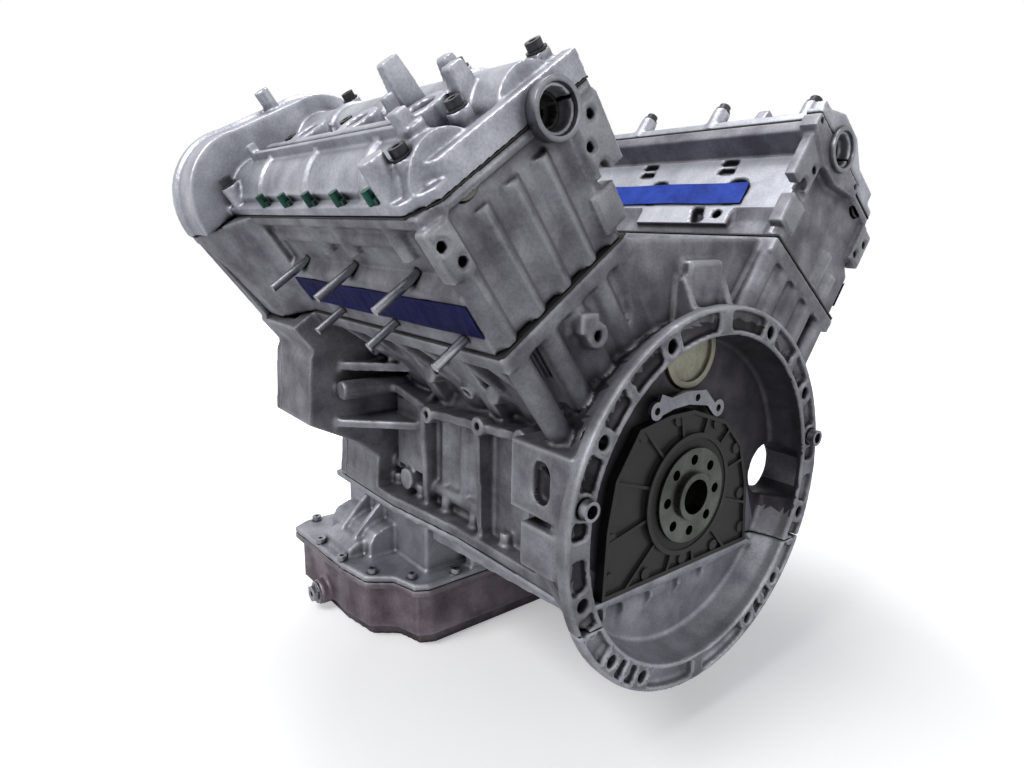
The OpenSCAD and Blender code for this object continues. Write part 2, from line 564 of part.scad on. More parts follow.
// Chain case part of a head: its outline seen from the front and from above
case_section = [[-deck_in, head_z], [-deck_in, seam_z - 68], [-case_in, seam_z - 50], [-case_in, seam_z],
            [case_side + 8, seam_z], [case_side, head_z + 70], [case_side - 6, head_z]];
case_plan = [[-case_in, case_back - 12], [exhaust_face - 4, case_back - 40], [case_side, case_front - 26],
            [case_side + 8, case_front], [-case_in, case_front]];
module cylinder_head(s) color([0.64, 0.64, 0.65]) bank(s) difference() {
    union() {
        along_y(bank_rear(s) + 6, case_back) polygon(head_section);
        intersection() {
            along_y(case_back - 40, case_front) polygon(case_section);
            slab(case_plan, head_z, seam_z);
        }
        // Top flange
        slab(cover_outline_plan(s), seam_z - 9, seam_z);
        // Columns on the rear face
        for (c = head_columns(s)) rod_z(c[0], bank_rear(s) + column_r, column_r, head_z, c[1]);
        // Machined pad under the intake ports
        box([-intake_face, bank_rear(s) + 66, head_z + 11], [-50, bank_rear(s) + 190, head_z + 36]);
        if (s > 0) cam_end_flange(s, collar_d / 2 - 4);
        // Rear pads
        box([-head_in, bank_rear(s) - 4, seam_z - 66], [-head_in + 34, bank_rear(s) + 8, seam_z - 9]);
        box([-intake_face - 8, bank_rear(s) - 2, head_z + 10], [-intake_face + 20, bank_rear(s) + 14, head_z + 44]);
        box([68, bank_rear(s), seam_z - 52], [head_out + 4, bank_rear(s) + 14, seam_z - 9]);
        // Oil gallery along the outboard side
        rod_y(head_out - 12, seam_z - 24, 9, bank_rear(s) + 60, case_back - 60);
        for (y = [60, 150, 200]) rod_z(head_out - 8, y + bank_rear(s), 8, seam_z - 40, seam_z - 8);
        // Collar round the camshaft's rear end
        rod_y(-cam_o, seam_z, collar_d / 2, bank_rear(s) - 8, bank_rear(s) + 12);
    }
    box([-big, -big, seam_z], [big, big, big]);
    chain_case_head();
    cam_space(s);
    // Combustion side of each cylinder: injector well, valve bores and ports
    for (i = CYLS) translate([0, cyl_y(s, i), 0]) {
        rod_z(0, 0, injector_r, head_z + 34, seam_z + over);
        rod_z(0, 0, 5, head_z - over, head_z + 40);
        for (v = valve_places) valve_bores(v);
        translate([0, 0, intake_port_h]) rotate([0, -90, 0]) translate([0, 0, 34]) cylinder(r = 16, h = 70);
        translate([0, exhaust_shift, exhaust_port_h]) rotate([0, 90, 0]) translate([0, 0, 34]) cylinder(r = 15, h = 70);
    }
    for (p = head_bolt_places(s)) {
        rod_z(p[0], p[1], head_bolt_d / 2, head_z - over, head_z + 80);
        rod_z(p[0], p[1], head_bolt_d / 2 + 5, head_z + 60, seam_z + over);
    }
    for (p = stud_places) stud(s, p);
    // Slots in the intake face and holes in the pad under the ports
    for (y = [88, 200], h = [seam_z - 42, seam_z - 31])
        box([-intake_face - 2, bank_rear(s) + y, h], [-intake_face + 7, bank_rear(s) + y + 20, h + 7]);
    rod_x(bank_rear(s) + 84, head_z + 24, 5, -intake_face - 1, -52);
    along_x(-intake_face - 1, -53) polygon([for (p = [[98, 14], [112, 12], [118, 32], [104, 32]]) p + [bank_rear(s), head_z]]);
    // Tapped holes on the rear pads
    for (p = [[-76, -21], [-63, -41]]) rod_y(p[0], seam_z + p[1], 4, bank_rear(s) - 6, bank_rear(s) + 10);
    rod_y(-68, seam_z - 62, 6, bank_rear(s) - 6, bank_rear(s) + 8);
    for (p = [[84, -24], [76, -42]]) rod_y(p[0], seam_z + p[1], 4, bank_rear(s) - 2, bank_rear(s) + 12);
}
// Long flange round the open rear end of the right intake camshaft, with a screw at each end
flange_bolts = [[-91, seam_z - 4.5], [8, seam_z - 4.5]];
module cam_end_flange(s, bore_r) along_y(bank_rear(s) - 7, bank_rear(s) + 12) difference() {
    polygon([[-98, seam_z - 14], [-98, seam_z + 6], [-62, seam_z + 30], [-26, seam_z + 30], [15, seam_z + 6],
            [15, seam_z - 14], [-26, seam_z - 30], [-62, seam_z - 30]]);
    translate([-cam_o, seam_z]) circle(r = bore_r);
    for (p = flange_bolts) translate(p) circle(r = 3);
}
// Space round both camshafts of a bank, with bearing walls left standing
cam_end_wall = 13;
bearing_w = 14;
function gallery_from(s, i) = i == 0 ? bank_rear(s) + cam_end_wall : cyl_y(s, i - 1) + bearing_w / 2;
function gallery_to(s, i) = i == 3 ? case_back - 7 : cyl_y(s, i) - bearing_w / 2;
module cam_space(s) {
    for (c = [-cam_o, cam_o], i = [0:3]) rod_y(c, seam_z, gallery_r, gallery_from(s, i), gallery_to(s, i));
    for (c = [-cam_o, cam_o])
        rod_y(c, seam_z, cam_journal_d / 2 + bearing_gap, bank_rear(s) + cam_rear_y - 1, case_back + over);
    for (c = [-cam_o, cam_o]) rod_y(c, seam_z, cam_journal_d / 2 + 4, case_back, case_back + 18);
    rod_y(-cam_o, seam_z, cam_journal_d / 2 + 2, bank_rear(s) - 20, bank_rear(s) + cam_rear_y);
}
module chain_case_head() intersection() {
    along_y(case_back, case_front + over) polygon([[-deck_in + 8, head_z - over], [-deck_in + 8, seam_z - 62],
        [-case_in + case_wall_t, seam_z - 46], [-case_in + case_wall_t, seam_z + over], [case_side, seam_z + over],
        [case_side - 8, head_z + 70], [case_side - 14, head_z - over]]);
    slab([[-case_in, case_back], [exhaust_face - 6, case_back], [case_side - 8, case_front - 26],
          [case_side, case_front + over], [-case_in, case_front + over]], head_z - over, seam_z + over);
}
case_wall_t = 7;
// Intake ports leave inboard and exhaust ports outboard
intake_port_h = head_z + 53;
exhaust_port_h = head_z + 31;
exhaust_shift = -19;
injector_r = 11;
valve_o = 19;
valve_y = 17;
valve_places = [[-valve_o, -valve_y], [-valve_o, valve_y], [valve_o, -valve_y], [valve_o, valve_y]];
valve_stem_r = 3;
valve_head_r = 14;
module valve_bores(v) {
    rod_z(v[0], v[1], valve_stem_r + bearing_gap, head_z - over, head_z + 90);
    rod_z(v[0], v[1], valve_head_r + 0.5, head_z - over, head_z + 12);
    rod_z(v[0], v[1], 12, head_z + 58, seam_z + over);
}

// Cam covers and their gaskets

chamfer_o = 20;
function cover_outline_plan(s) = [[-head_in, bank_rear(s)], [head_out - chamfer_o, bank_rear(s)],
    [head_out, bank_rear(s) + chamfer_o], [head_out, case_back + 12], [deck_out + front_out - 4, case_front - 12],
    [deck_out + front_out - 4, case_front], [-case_in, case_front], [-case_in, case_back - 12], [-head_in, case_back - 24]];
module cover_ring(s) difference() {
    polygon(cover_outline_plan(s));
    for (c = [-cam_o, cam_o]) translate([c - gallery_r - 1, bank_rear(s) + cam_end_wall])
        square([2 * gallery_r + 2, case_back - 7 - bank_rear(s) - cam_end_wall]);
    for (i = CYLS) translate([0, cyl_y(s, i)]) circle(r = injector_r);
    polygon([[-case_in + case_wall_t, case_back], [exhaust_face - 6, case_back], [case_side - 8, case_front - 26],
            [case_side - 4, case_front - 9], [-case_in + case_wall_t, case_front - 9]]);
    for (p = screw_places) translate([p[0], p[1] + bank_rear(s)]) circle(r = screw_r);
    translate([-cam_o - collar_d / 2, bank_rear(s) - over]) square([collar_d, cam_end_wall + 2]);
    translate([cam_o - cam_journal_d / 2 - over, bank_rear(s) + cam_rear_y - 1]) square([cam_journal_d + 2, 60]);
    translate([-cam_o, case_back - 20]) square([cam_journal_d + 2, 60], center = true);
    translate([cam_o, case_back - 20]) square([cam_journal_d + 2, 60], center = true);
}
module cover_gasket(s) color([0.1, 0.1, 0.11]) bank(s)
    translate([0, 0, seam_z]) linear_extrude(cover_gasket_t) cover_ring(s);

screw_places = [[head_out - 26, 26], [6, 108], [-6, 214], [6, 320], [-head_in + 8, 130], [-head_in + 8, 236],
            [-head_in + 8, 338], [head_out - 10, 350], [-76, 24], [0, 36]];
clip_places = [57, 110, 163, 216, 269];
dome_corner_r = 70;
gear_dome_r = 56;
dome_o = deck_out + front_out - 6 - dome_corner_r;
// Two round shoulders, over the gear on the inboard camshaft and over the chain sprocket
module dome_profile(grow) union() {
    translate([dome_o, cover_z]) circle(r = dome_corner_r + grow, $fn = 72);
    translate([-cam_o, seam_z]) circle(r = gear_dome_r + grow, $fn = 72);
    polygon([[-cam_o, seam_z], [-cam_o, seam_z + gear_dome_r + grow], [dome_o, cover_z + dome_corner_r + grow],
            [dome_o, cover_z]]);
}
module cover_shape(s) {
    slab(cover_outline_plan(s), cover_z, cover_z + cover_flange_t);
    // Raised step between the barrels and the rail
    slab([[-head_in + 10, bank_rear(s) + 10], [head_out - 26, bank_rear(s) + 10], [head_out - 9, bank_rear(s) + 30],
          [head_out - 9, case_back - 4], [-head_in + 10, case_back - 4]], cover_z, cover_z + 16);
    for (c = [-cam_o, cam_o]) rod_y(c, seam_z, barrel_r, bank_rear(s) + 12, case_back + 12);
    // Cross rings on the barrels at the bearings
    for (c = [-cam_o, cam_o], i = CYLS)
        rod_y(c, seam_z, barrel_r + 3, cyl_y(s, i) - 4, cyl_y(s, i) + 4);
    // Rear collar of the camshaft
    rod_y(-cam_o, seam_z, collar_d / 2, bank_rear(s) - 8, bank_rear(s) + 14);
    if (s > 0) cam_end_flange(s, collar_d / 2 - 4);
    // Rear end wall
    slab([[-head_in, bank_rear(s)], [head_out - 34, bank_rear(s)], [head_out - 26, bank_rear(s) + 14],
          [-head_in, bank_rear(s) + 14]], cover_z, cover_z + 22);
    // Dome over the cam sprockets
    along_y(case_front - dome_len, case_front - 10) dome_profile(0);
    along_y(case_front - 12, case_front) dome_profile(4);
    rod_z(-28, case_front - 18, 8, cover_z + dome_h - 20, cover_z + dome_h + 10);
    // Injector towers between the barrels
    for (i = CYLS) rod_z(0, cyl_y(s, i), 21, cover_z, cover_z + 38);
    // Round posts and tapered posts that carry the engine's outer cover
    rod_z(41, bank_rear(s) + 33, 10, cover_z, cover_z + 42);
    rod_z(78, bank_rear(s) + 36, 10, cover_z, cover_z + 40);
    rod_z(61, bank_rear(s) + 26, 10, cover_z, cover_z + 24);
    post(-12, bank_rear(s) + 110, 22, 12, cover_z + 6, cover_z + 72);
    post(-52, bank_rear(s) + 98, 16, 14, cover_z + 6, cover_z + 52);
    // Long upright rib on the outboard barrel
    box([18, bank_rear(s) + 82, seam_z + 22], [24, bank_rear(s) + 350, seam_z + 40]);
    box([14, bank_rear(s) + 78, seam_z + 18], [24, bank_rear(s) + 86, seam_z + 58]);
    // Screw bosses
    for (p = screw_places) rod_z(p[0], p[1] + bank_rear(s), screw_head_d / 2 + 3, cover_z, cover_z + screw_boss_h);
}
// A square post that tapers to its top
module post(o, y, w, t, z0, z1) {
    along_y_at(y, t) polygon([[o - w / 2 - 5, z0], [o + w / 2 + 5, z0], [o + w / 2 - 3, z1], [o - w / 2 + 3, z1]]);
}
module cam_cover(s) color([0.78, 0.79, 0.8]) bank(s) difference() {
    cover_shape(s);
    box([-big, -big, cover_z - big], [big, big, cover_z]);
    cam_space(s);
    for (i = CYLS) rod_z(0, cyl_y(s, i), injector_r, cover_z - over, cover_z + 60);
    along_y(case_back + 16, case_front - 8) intersection() {
        dome_profile(-case_wall_t);
        translate([-big, cover_z - over]) square(2 * big);
    }
    for (p = screw_places) {
        rod_z(p[0], p[1] + bank_rear(s), screw_r, cover_z - over, cover_z + screw_boss_h + over);
        // Spot face, so that no barrel or post stands over the screw's head
        rod_z(p[0], p[1] + bank_rear(s), screw_head_d / 2 + 2.6, cover_z + screw_boss_h, cover_z + 90);
    }
}
screw_boss_h = 30;
screw_r = 3;
module cover_screws() color([0.15, 0.15, 0.16]) for (s = SIDES) bank(s) for (p = screw_places)
    translate([p[0], p[1] + bank_rear(s), cover_z + screw_boss_h]) difference() {
        union() {
            translate([0, 0, -screw_boss_h + 6]) cylinder(r = screw_r, h = screw_boss_h - 5);
            cylinder(r = screw_head_d / 2 + 2, h = 1.5);
            cylinder(r = screw_head_d / 2, h = 8);
        }
        translate([0, 0, 4]) cylinder(r = screw_head_d / 4, h = 8, $fn = 6);
    }
module cover_clips() color([0.1, 0.22, 0.17]) for (s = SIDES) bank(s) for (y = clip_places)
    translate([head_out - 4, y + bank_rear(s), cover_z + cover_flange_t]) {
        rod_z(0, 0, 4, 0, 11);
        box([-1.5, -9, 0], [1.5, 3, 4]);
    }

// Front timing cover

module timing_cover() color([0.66, 0.66, 0.67]) difference() {
    union() {
        along_y(case_front, case_front + front_cover_t) both_sides(front_flare);
        for (s = SIDES) bank(s) along_y(case_front, case_front + front_cover_t)
            polygon([[-head_in, head_z + 40], [-deck_in, deck_h - 10], [deck_out + 26, deck_h - 10],
            [deck_out + front_out - 8, seam_z - 4], [-head_in, seam_z - 4]]);
        rod_y(0, 0, 62, case_front, case_front + front_cover_t + 12);
        rod_y(0, balance_h, 46, case_front, case_front + front_cover_t + 8);
        for (s = SIDES) rod_y(s * 120, 96, 40, case_front, case_front + front_cover_t + 10);
        for (s = SIDES, z = [-20, 40, 90]) rod_y(s * 205, max(z, 26), 12, case_front, case_front + front_cover_t + 6);
    }
    rod_y(0, 0, front_seal_r, case_front - over, case_front + 60);
    for (s = SIDES) rod_y(s * 120, 96, 24, case_front + front_cover_t - 2, case_front + 60);
    for (s = SIDES, z = [40, 90]) rod_y(s * 205, z, 4.5, case_front - over, case_front + 60);
}
front_seal_r = nose_seat_d / 2 + 8;
module front_crank_seal() color([0.08, 0.08, 0.09]) difference() {
    rod_y(0, 0, front_seal_r, case_front + front_cover_t, case_front + front_cover_t + 10);
    rod_y(0, 0, nose_seat_d / 2 + bearing_gap, case_front, case_front + 60);
}

// Oil pans

pan_front = case_front + 30;
well_back = 222;
// Flange between the pans, wide on the left at the front
sump_left = 208;
sump_right = 150;
flange2_outline = [[-150, well_back + 14], [-165, well_back + 22], [-174, well_back + 54], [-200, well_back + 74],
            [-sump_left, well_back + 120], [-sump_left - 4, pan_front + 10], [-190, pan_front + 22],
            [sump_right - 20, pan_front + 22], [sump_right, pan_front + 4], [sump_right, well_back + 40],
            [sump_right - 30, well_back + 14]];
function shrink(points, d, c) = [for (p = points) [p[0] - d * sign(p[0] - c[0]), p[1] - d * sign(p[1] - c[1])]];
pan_mid = [-30, (well_back + pan_front) / 2];
pan_lip = 9;
fins_at = [-106, -80, -42, 0, 38];
// Shelf under the seal cover and the fins that carry it, inside the bell
module bell_shelf() {
    along_y(rear_wall_y - pan_lip, rear_wall_y + over)
        polygon([[-136, rail_z - 6], [-126, rail_z], [112, rail_z], [124, rail_z - 6], [60, rail_z - 10], [-60, rail_z - 10]]);
    for (x = fins_at) translate([x, 0, 0]) along_x(-2.5, 2.5)
        polygon([[rear_wall_y + over, rail_z - 4], [rear_wall_y - pan_lip + 2, rail_z - 4],
            [rear_wall_y - pan_lip, rail_z - 16], [rear_wall_y + over, rail_z - 42]]);
}
module upper_oil_pan() color([0.72, 0.72, 0.73]) union() {
    pan_casting();
    bell_shelf();
}
module pan_casting() difference() {
    union() {
        intersection() { bell_solid(); below_rail(); }
        // Rail flange
        slab(rail_plan(pan_front), rail_z - pan_flange_t, rail_z);
        // Shallow tray behind the well
        slab([[-118, rear_inner_y], [118, rear_inner_y], [136, well_back + 30], [-136, well_back + 30]],
            rail_z - tray_depth, rail_z);
        // Well
        slab([[-138, well_back + 40], [-138, pan_front - 4], [132, pan_front - 4], [132, well_back + 40]],
            flange2_z, rail_z);
        // Stepped shoulders on the left of the well
        along_y(well_back + 112, pan_front - 22) polygon([[-100, flange2_z], [-100, rail_z - 34], [-150, rail_z - 38],
            [-166, rail_z - 44], [-173, rail_z - 56], [-174, flange2_z]]);
        along_y(well_back + 126, pan_front - 50) polygon([[-150, flange2_z], [-150, rail_z - 50], [-182, rail_z - 55],
            [-194, rail_z - 62], [-198, flange2_z + 4], [-198, flange2_z]]);
        slab(flange2_outline, flange2_z, flange2_z + pan_flange_t);
        // Post that carries the flange behind the well
        slab([[-90, well_back + 16], [-66, well_back + 16], [-66, well_back + 30], [-90, well_back + 30]],
            flange2_z, rail_z - tray_depth + over);
        slab([[60, well_back + 16], [90, well_back + 16], [90, well_back + 30], [60, well_back + 30]],
            flange2_z, rail_z - tray_depth + over);
        for (y = [well_back + 140, well_back + 176]) along_y_at(y, 7)
            polygon([[-138, rail_z - pan_flange_t], [-200, flange2_z + pan_flange_t], [-138, flange2_z + pan_flange_t]]);
    }
    // Bell inside, with the front wall left standing
    intersection() { bell_hollow(); below_rail(); }
    difference() { intersection() { bell_back(); below_rail(); }
        slab([[-124, -big], [124, -big], [142, well_back + 30], [-142, well_back + 30]], rail_z - tray_depth, rail_z + 1); }
    intersection() { bell_pockets(); below_rail(); }
    bell_bolt_holes();
    // Inside of the tray and the well
    slab([[-108, rear_inner_y + 10], [108, rear_inner_y + 10], [124, well_back + 60], [124, pan_front - 12],
          [-128, pan_front - 12], [-128, well_back + 60]], rail_z - tray_depth + pan_wall, rail_z + over);
    slab([[-130, well_back + 48], [-130, pan_front - 12], [124, pan_front - 12], [124, well_back + 48]],
         flange2_z - over, rail_z - tray_depth + pan_wall + over);
    slab([[-164, well_back + 120], [-164, pan_front - 30], [-120, pan_front - 30], [-120, well_back + 120]],
         flange2_z - over, rail_z - 48);
    for (p = sump_screws) rod_z(p[0], p[1], 3.5, flange2_z - over, flange2_z + pan_flange_t + over);
}
sump_screws = [[-157, 262], [-188, 300], [-203, 350], [-204, 410], [-180, 478], [-100, 480], [0, 480], [100, 480],
            [141, 420], [141, 330], [100, 243], [0, 243], [-110, 243]];
module pan_screws() color([0.5, 0.5, 0.5]) for (p = sump_screws)
    translate([p[0], p[1], flange2_z + pan_flange_t]) difference() {
        cylinder(r = 6, h = 6);
        translate([0, 0, 3]) cylinder(r = 3, h = 6, $fn = 6);
    }
module lower_oil_pan() color([0.45, 0.42, 0.42]) difference() {
    union() {
        slab(flange2_outline, flange2_z - pan_flange_t, flange2_z);
        slab(shrink(flange2_outline, 8, pan_mid), flange2_z - sump_depth + 16, flange2_z - pan_flange_t + over);
        slab(shrink(flange2_outline, 16, pan_mid), flange2_z - sump_depth, flange2_z - sump_depth + 16 + over);
        rod_x(pan_mid[1] + 60, flange2_z - sump_depth + 24, drain_d / 2 + 5, -sump_left - 6, -sump_left + 40);
    }
    slab(shrink(flange2_outline, 8 + pan_wall, pan_mid), flange2_z - sump_depth + 16, flange2_z + over);
    slab(shrink(flange2_outline, 16 + pan_wall, pan_mid), flange2_z - sump_depth + pan_wall, flange2_z - sump_depth + 20);
    rod_x(pan_mid[1] + 60, flange2_z - sump_depth + 24, drain_d / 2 - 3, -sump_left - 20, -sump_left + 60);
    for (p = sump_screws) rod_z(p[0], p[1], 3, flange2_z - 5, flange2_z + over);
}
module drain_plug() color([0.5, 0.5, 0.52]) translate([-sump_left - 6, pan_mid[1] + 60, flange2_z - sump_depth + 24])
    rotate([0, -90, 0]) difference() {
        union() {
            cylinder(r = drain_d / 2 + 3, h = 2);
            cylinder(r = drain_d / 2, h = 8, $fn = 6);
            translate([0, 0, -14]) cylinder(r = drain_d / 2 - 3, h = 15);
        }
        translate([0, 0, 3]) cylinder(r = 4, h = 8, $fn = 6);
    }
pump_back = main_y(3) - 10;
pump_front = main_y(3) + 18;
module oil_pump() color([0.6, 0.6, 0.62]) difference() {
    union() {
        box([-36, pump_back, cap_bottom - 62], [36, pump_front, cap_bottom]);
        for (x = [-20, 20]) rod_y(x, cap_bottom - 36, 26, pump_back, pump_front + 6);
    }
    rod_z(0, main_y(3), pickup_r, cap_bottom - 70, cap_bottom - 46);
}
pickup_r = 9;
module oil_pickup() color([0.5, 0.5, 0.52]) {
    rod_z(0, main_y(3), pickup_r, flange2_z - 50, cap_bottom - 46);
    rod_z(0, main_y(3), 34, flange2_z - 66, flange2_z - 50);
}

// Pistons, valves, bolts and studs

// Angle of a crankpin from its own cylinder axis, at rest
pin_phase = [0, 120, 240];
function pin_angle(s, i) = pin_phase[i] + s * pin_split / 2;
function pin_lag(s, i) = pin_angle(s, i) - s * half_v;
function pin_height(a) = crank_r * cos(a) + sqrt(pow(rod_len, 2) - pow(crank_r * sin(a), 2));
piston_r = bore / 2 - piston_gap;
crown_h = deck_h - crank_r - rod_len;
piston_skirt = 24;
wrist_pin_r = 14;
ring_groove_h = 2.5;
// A piston or its pin, moved to where the crankpin holds it at rest
module at_piston(s, i) bank(s) translate([0, cyl_y(s, i), pin_height(pin_lag(s, i))]) children();
module piston(s, i) color([0.62, 0.62, 0.64]) at_piston(s, i) difference() {
    translate([0, 0, -piston_skirt]) cylinder(r = piston_r, h = piston_skirt + crown_h - 1, $fn = 96);
    translate([0, 0, -piston_skirt - over]) cylinder(r = piston_r - 7, h = piston_skirt + crown_h - 17);
    rod_y(0, 0, wrist_pin_r, -big, big);
    // Bowl in the crown
    translate([0, 0, crown_h - 12]) rotate_extrude() polygon([[0, 6], [18, 0], [27, 2], [28, 12], [0, 12]]);
    for (z = [crown_h - 8, crown_h - 14, crown_h - 20]) translate([0, 0, z]) difference() {
        cylinder(r = piston_r + over, h = ring_groove_h, $fn = 96);
        translate([0, 0, -over]) cylinder(r = piston_r - 3.2, h = ring_groove_h + 2 * over, $fn = 96);
    }
}
module piston_pin(s, i) color([0.55, 0.56, 0.58]) at_piston(s, i) difference() {
    rod_y(0, 0, wrist_pin_r, -piston_r + 3, piston_r - 3);
    rod_y(0, 0, 8, -60, 60);
}
module valve_set(side_o) for (s = SIDES) bank(s) for (i = CYLS, d = [-valve_y, valve_y])
    translate([side_o, cyl_y(s, i) + d, head_z]) {
        translate([0, 0, 2]) cylinder(r = valve_stem_r, h = 86);
        translate([0, 0, 1]) cylinder(r1 = valve_head_r, r2 = valve_stem_r, h = 10);
    }
module intake_valves() color([0.6, 0.6, 0.62]) valve_set(-valve_o);
module exhaust_valves() color([0.5, 0.48, 0.46]) valve_set(valve_o);
module valve_springs() color([0.3, 0.32, 0.36]) for (s = SIDES) bank(s) for (i = CYLS, v = valve_places)
    translate([v[0], cyl_y(s, i) + v[1], head_z + 58]) difference() {
        union() {
            for (k = [0:4]) translate([0, 0, k * 5]) cylinder(r = 11.5, h = 3);
            cylinder(r = 9.5, h = 24);
        }
        translate([0, 0, -over]) cylinder(r = valve_stem_r, h = 40);
    }
module head_bolts() color([0.2, 0.2, 0.22]) for (s = SIDES) bank(s) for (p = head_bolt_places(s)) {
    rod_z(p[0], p[1], head_bolt_d / 2, deck_h - 56, head_z + 61);
    rod_z(p[0], p[1], head_bolt_d / 2 + 4, head_z + 60, head_z + 72);
}
// Exhaust studs: a lower and an upper one beside each port
stud_places = [for (i = CYLS) each [[36 + i * cyl_pitch, head_z + 12.4, exhaust_face - 14],
            [74 + i * cyl_pitch, head_z + 61, exhaust_face - 26]]];
module stud(s, p) rod_x(p[0] + bank_rear(s), p[1], stud_d / 2, p[2], exhaust_face + stud_len);
module exhaust_studs() color([0.66, 0.66, 0.68]) for (s = SIDES) bank(s) for (p = stud_places) stud(s, p);
tape_t = 0.6;
module exhaust_port_tapes() color([0.05, 0.06, 0.28]) for (s = SIDES) bank(s)
    box([exhaust_face, bank_rear(s) + 6, head_z + 17], [exhaust_face + tape_t, case_back - 42, head_z + 47]);
module intake_port_tapes() color([0.12, 0.2, 0.6]) for (s = SIDES) bank(s)
    translate([-intake_face, 0, head_z + 32]) rotate([0, -1.8, 0])
        box([-tape_t, bank_rear(s) + 60, 4], [0, case_back - 20, 30]);

// Crankshaft

module crank_web(a, y0, y1) along_y(y0, y1) rotate(90 - a) union() {
    circle(r = main_d / 2 + 6);
    translate([crank_r, 0]) circle(r = pin_d / 2 + 5);
    translate([0, -pin_d / 2 - 4]) square([crank_r, pin_d + 8]);
    intersection() {
        circle(r = counterweight_r, $fn = 72);
        polygon([[10, -44], [10, 44], [-20, 70], [-90, 60], [-90, -60], [-20, -70]]);
    }
}
function web_back(i) = main_y(i) + main_w / 2 + side_play;
function web_front(i) = main_y(i + 1) - main_w / 2 - side_play;
fly_web_t = 3;
nose_y = case_front + front_cover_t + 12.5;
nose_len = 16;
module crankshaft() color([0.36, 0.37, 0.34]) difference() {
    union() {
        rod_y(0, 0, flange_d / 2, 0, flange_t);
        rod_y(0, 0, pilot_d / 2 + 6, -pilot_rim, over);
        rod_y(0, 0, main_d / 2 - 2, flange_t - over, main_y(0));
        for (i = MAINS)
            rod_y(0, 0, main_d / 2, main_y(i) - main_w / 2 - side_play - over, main_y(i) + main_w / 2 + side_play + over);
        for (i = CYLS) {
            crank_web(pin_phase[i] + pin_split / 2, web_back(i), mid_y(i) - bank_offset);
            crank_web(pin_phase[i] - pin_split / 2, mid_y(i) + bank_offset, web_front(i));
            for (s = SIDES) rotate([0, pin_phase[i] + s * pin_split / 2, 0]) {
            rod_y(0, crank_r, pin_d / 2, mid_y(i) - (s > 0 ? bank_offset + over : 0),
            mid_y(i) + (s > 0 ? 0 : bank_offset + over));
            // Half of the thin web between the two pins
            rod_y(0, crank_r, pin_d / 2 + 4, mid_y(i) - fly_web_t / 2, mid_y(i) + fly_web_t / 2);
            }
        }
        rod_y(0, 0, nose_seat_d / 2, main_y(3), nose_y);
        rod_y(0, 0, nose_d / 2, nose_y - over, nose_y + nose_len);
    }
    rod_y(0, 0, pilot_d / 2, -pilot_rim - over, pilot_len - pilot_rim);
    for (i = [0:flywheel_bolts - 1]) rotate([0, i * 360 / flywheel_bolts, 0])
        rod_y(0, flywheel_pcd / 2, flywheel_hole_d / 2, -over, flange_t - 2);
    rod_y(0, 0, 8, case_front, nose_y + nose_len + over);
}

// Camshafts, gears, sprockets and the timing chain

cam_rear_y = 4;
gear_y = case_back + 20;
gear_w = 12;
gear_teeth = 32;
chain_y = gear_y + 22;
chain_w = 6;
chain_pitch = 9.525;
crank_teeth = 18;
cam_teeth = 2 * crank_teeth;
function sprocket_r(n) = chain_pitch / (2 * sin(180 / n));
crank_chain_r = sprocket_r(crank_teeth);
cam_chain_r = sprocket_r(cam_teeth);
cam_x = bank_x(RIGHT, cam_o, seam_z);
cam_z = bank_z(cam_o, seam_z);

pressure_angle = 20;
function involute(r, rb) = let (t = sqrt(max(pow(r / rb, 2) - 1, 0))) t * 180 / PI - atan(t);
function flank(n, rp, add, ded, slack) = let (rb = rp * cos(pressure_angle))
    [for (r = [rp - ded, rb, rp, rp + add]) [r, 90 / n - slack + involute(rp, rb) - involute(max(r, rb), rb)]];
function gear_points(n, rp) = let (f = flank(n, rp, 2.3, 3, 0.25))
    [for (k = [0:n - 1], j = [0:7])
        let (q = j < 4 ? f[j] : f[7 - j], a = 360 / n * k + (j < 4 ? -q[1] : q[1])) [q[0] * cos(a), q[0] * sin(a)]];
// Teeth end just inside the chain's rollers
roller_r = 3;
tooth_gap = 0.4;
module sprocket(n) {
    circle(r = sprocket_r(n) - 8, $fn = 72);
    for (k = [0:n - 1]) rotate(k * 360 / n)
        polygon([[sprocket_r(n) - 9, -3.4], [sprocket_r(n) - roller_r - tooth_gap, -1.4],
            [sprocket_r(n) - roller_r - tooth_gap, 1.4], [sprocket_r(n) - 9, 3.4]]);
}
module cam_lobe(a, y) along_y_at(y, 13) rotate(90 - a) union() {
    circle(r = cam_base_r);
    translate([cam_base_r + cam_lift - 8, 0]) circle(r = 8);
    polygon([[3, cam_base_r - 0.4], [cam_base_r + cam_lift - 6.5, 7.85], [cam_base_r + cam_lift - 6.5, -7.85],
            [3, -cam_base_r + 0.4]]);
}
module camshaft(s, o, front_y) bank(s) translate([o, 0, seam_z]) difference() {
    union() {
        rod_y(0, 0, cam_journal_d / 2 - 3, bank_rear(s) + cam_rear_y, front_y);
        rod_y(0, 0, cam_journal_d / 2, bank_rear(s) + cam_rear_y, gallery_from(s, 0) + 2);
        for (i = CYLS) rod_y(0, 0, cam_journal_d / 2, gallery_to(s, i) - 2, gallery_from(s, i + 1) + 2);
        rod_y(0, 0, cam_journal_d / 2, gallery_to(s, 3) - 2, case_back + 4);
        for (i = CYLS, d = [-valve_y, valve_y])
            cam_lobe(o > 0 ? 35 + 120 * i : -35 - 120 * i, cyl_y(s, i) + d);
        // Gear that joins the two camshafts of the head
        translate([0, gear_y + gear_w, 0]) rotate([90, 0, 0])
            linear_extrude(gear_w) rotate(o > 0 ? 0 : 180 / gear_teeth) polygon(gear_points(gear_teeth, cam_o));
        rod_y(0, 0, cam_journal_d / 2 + 3, case_back + 1, front_y);
    }
    rod_y(0, 0, 5, bank_rear(s), front_y + over);
}
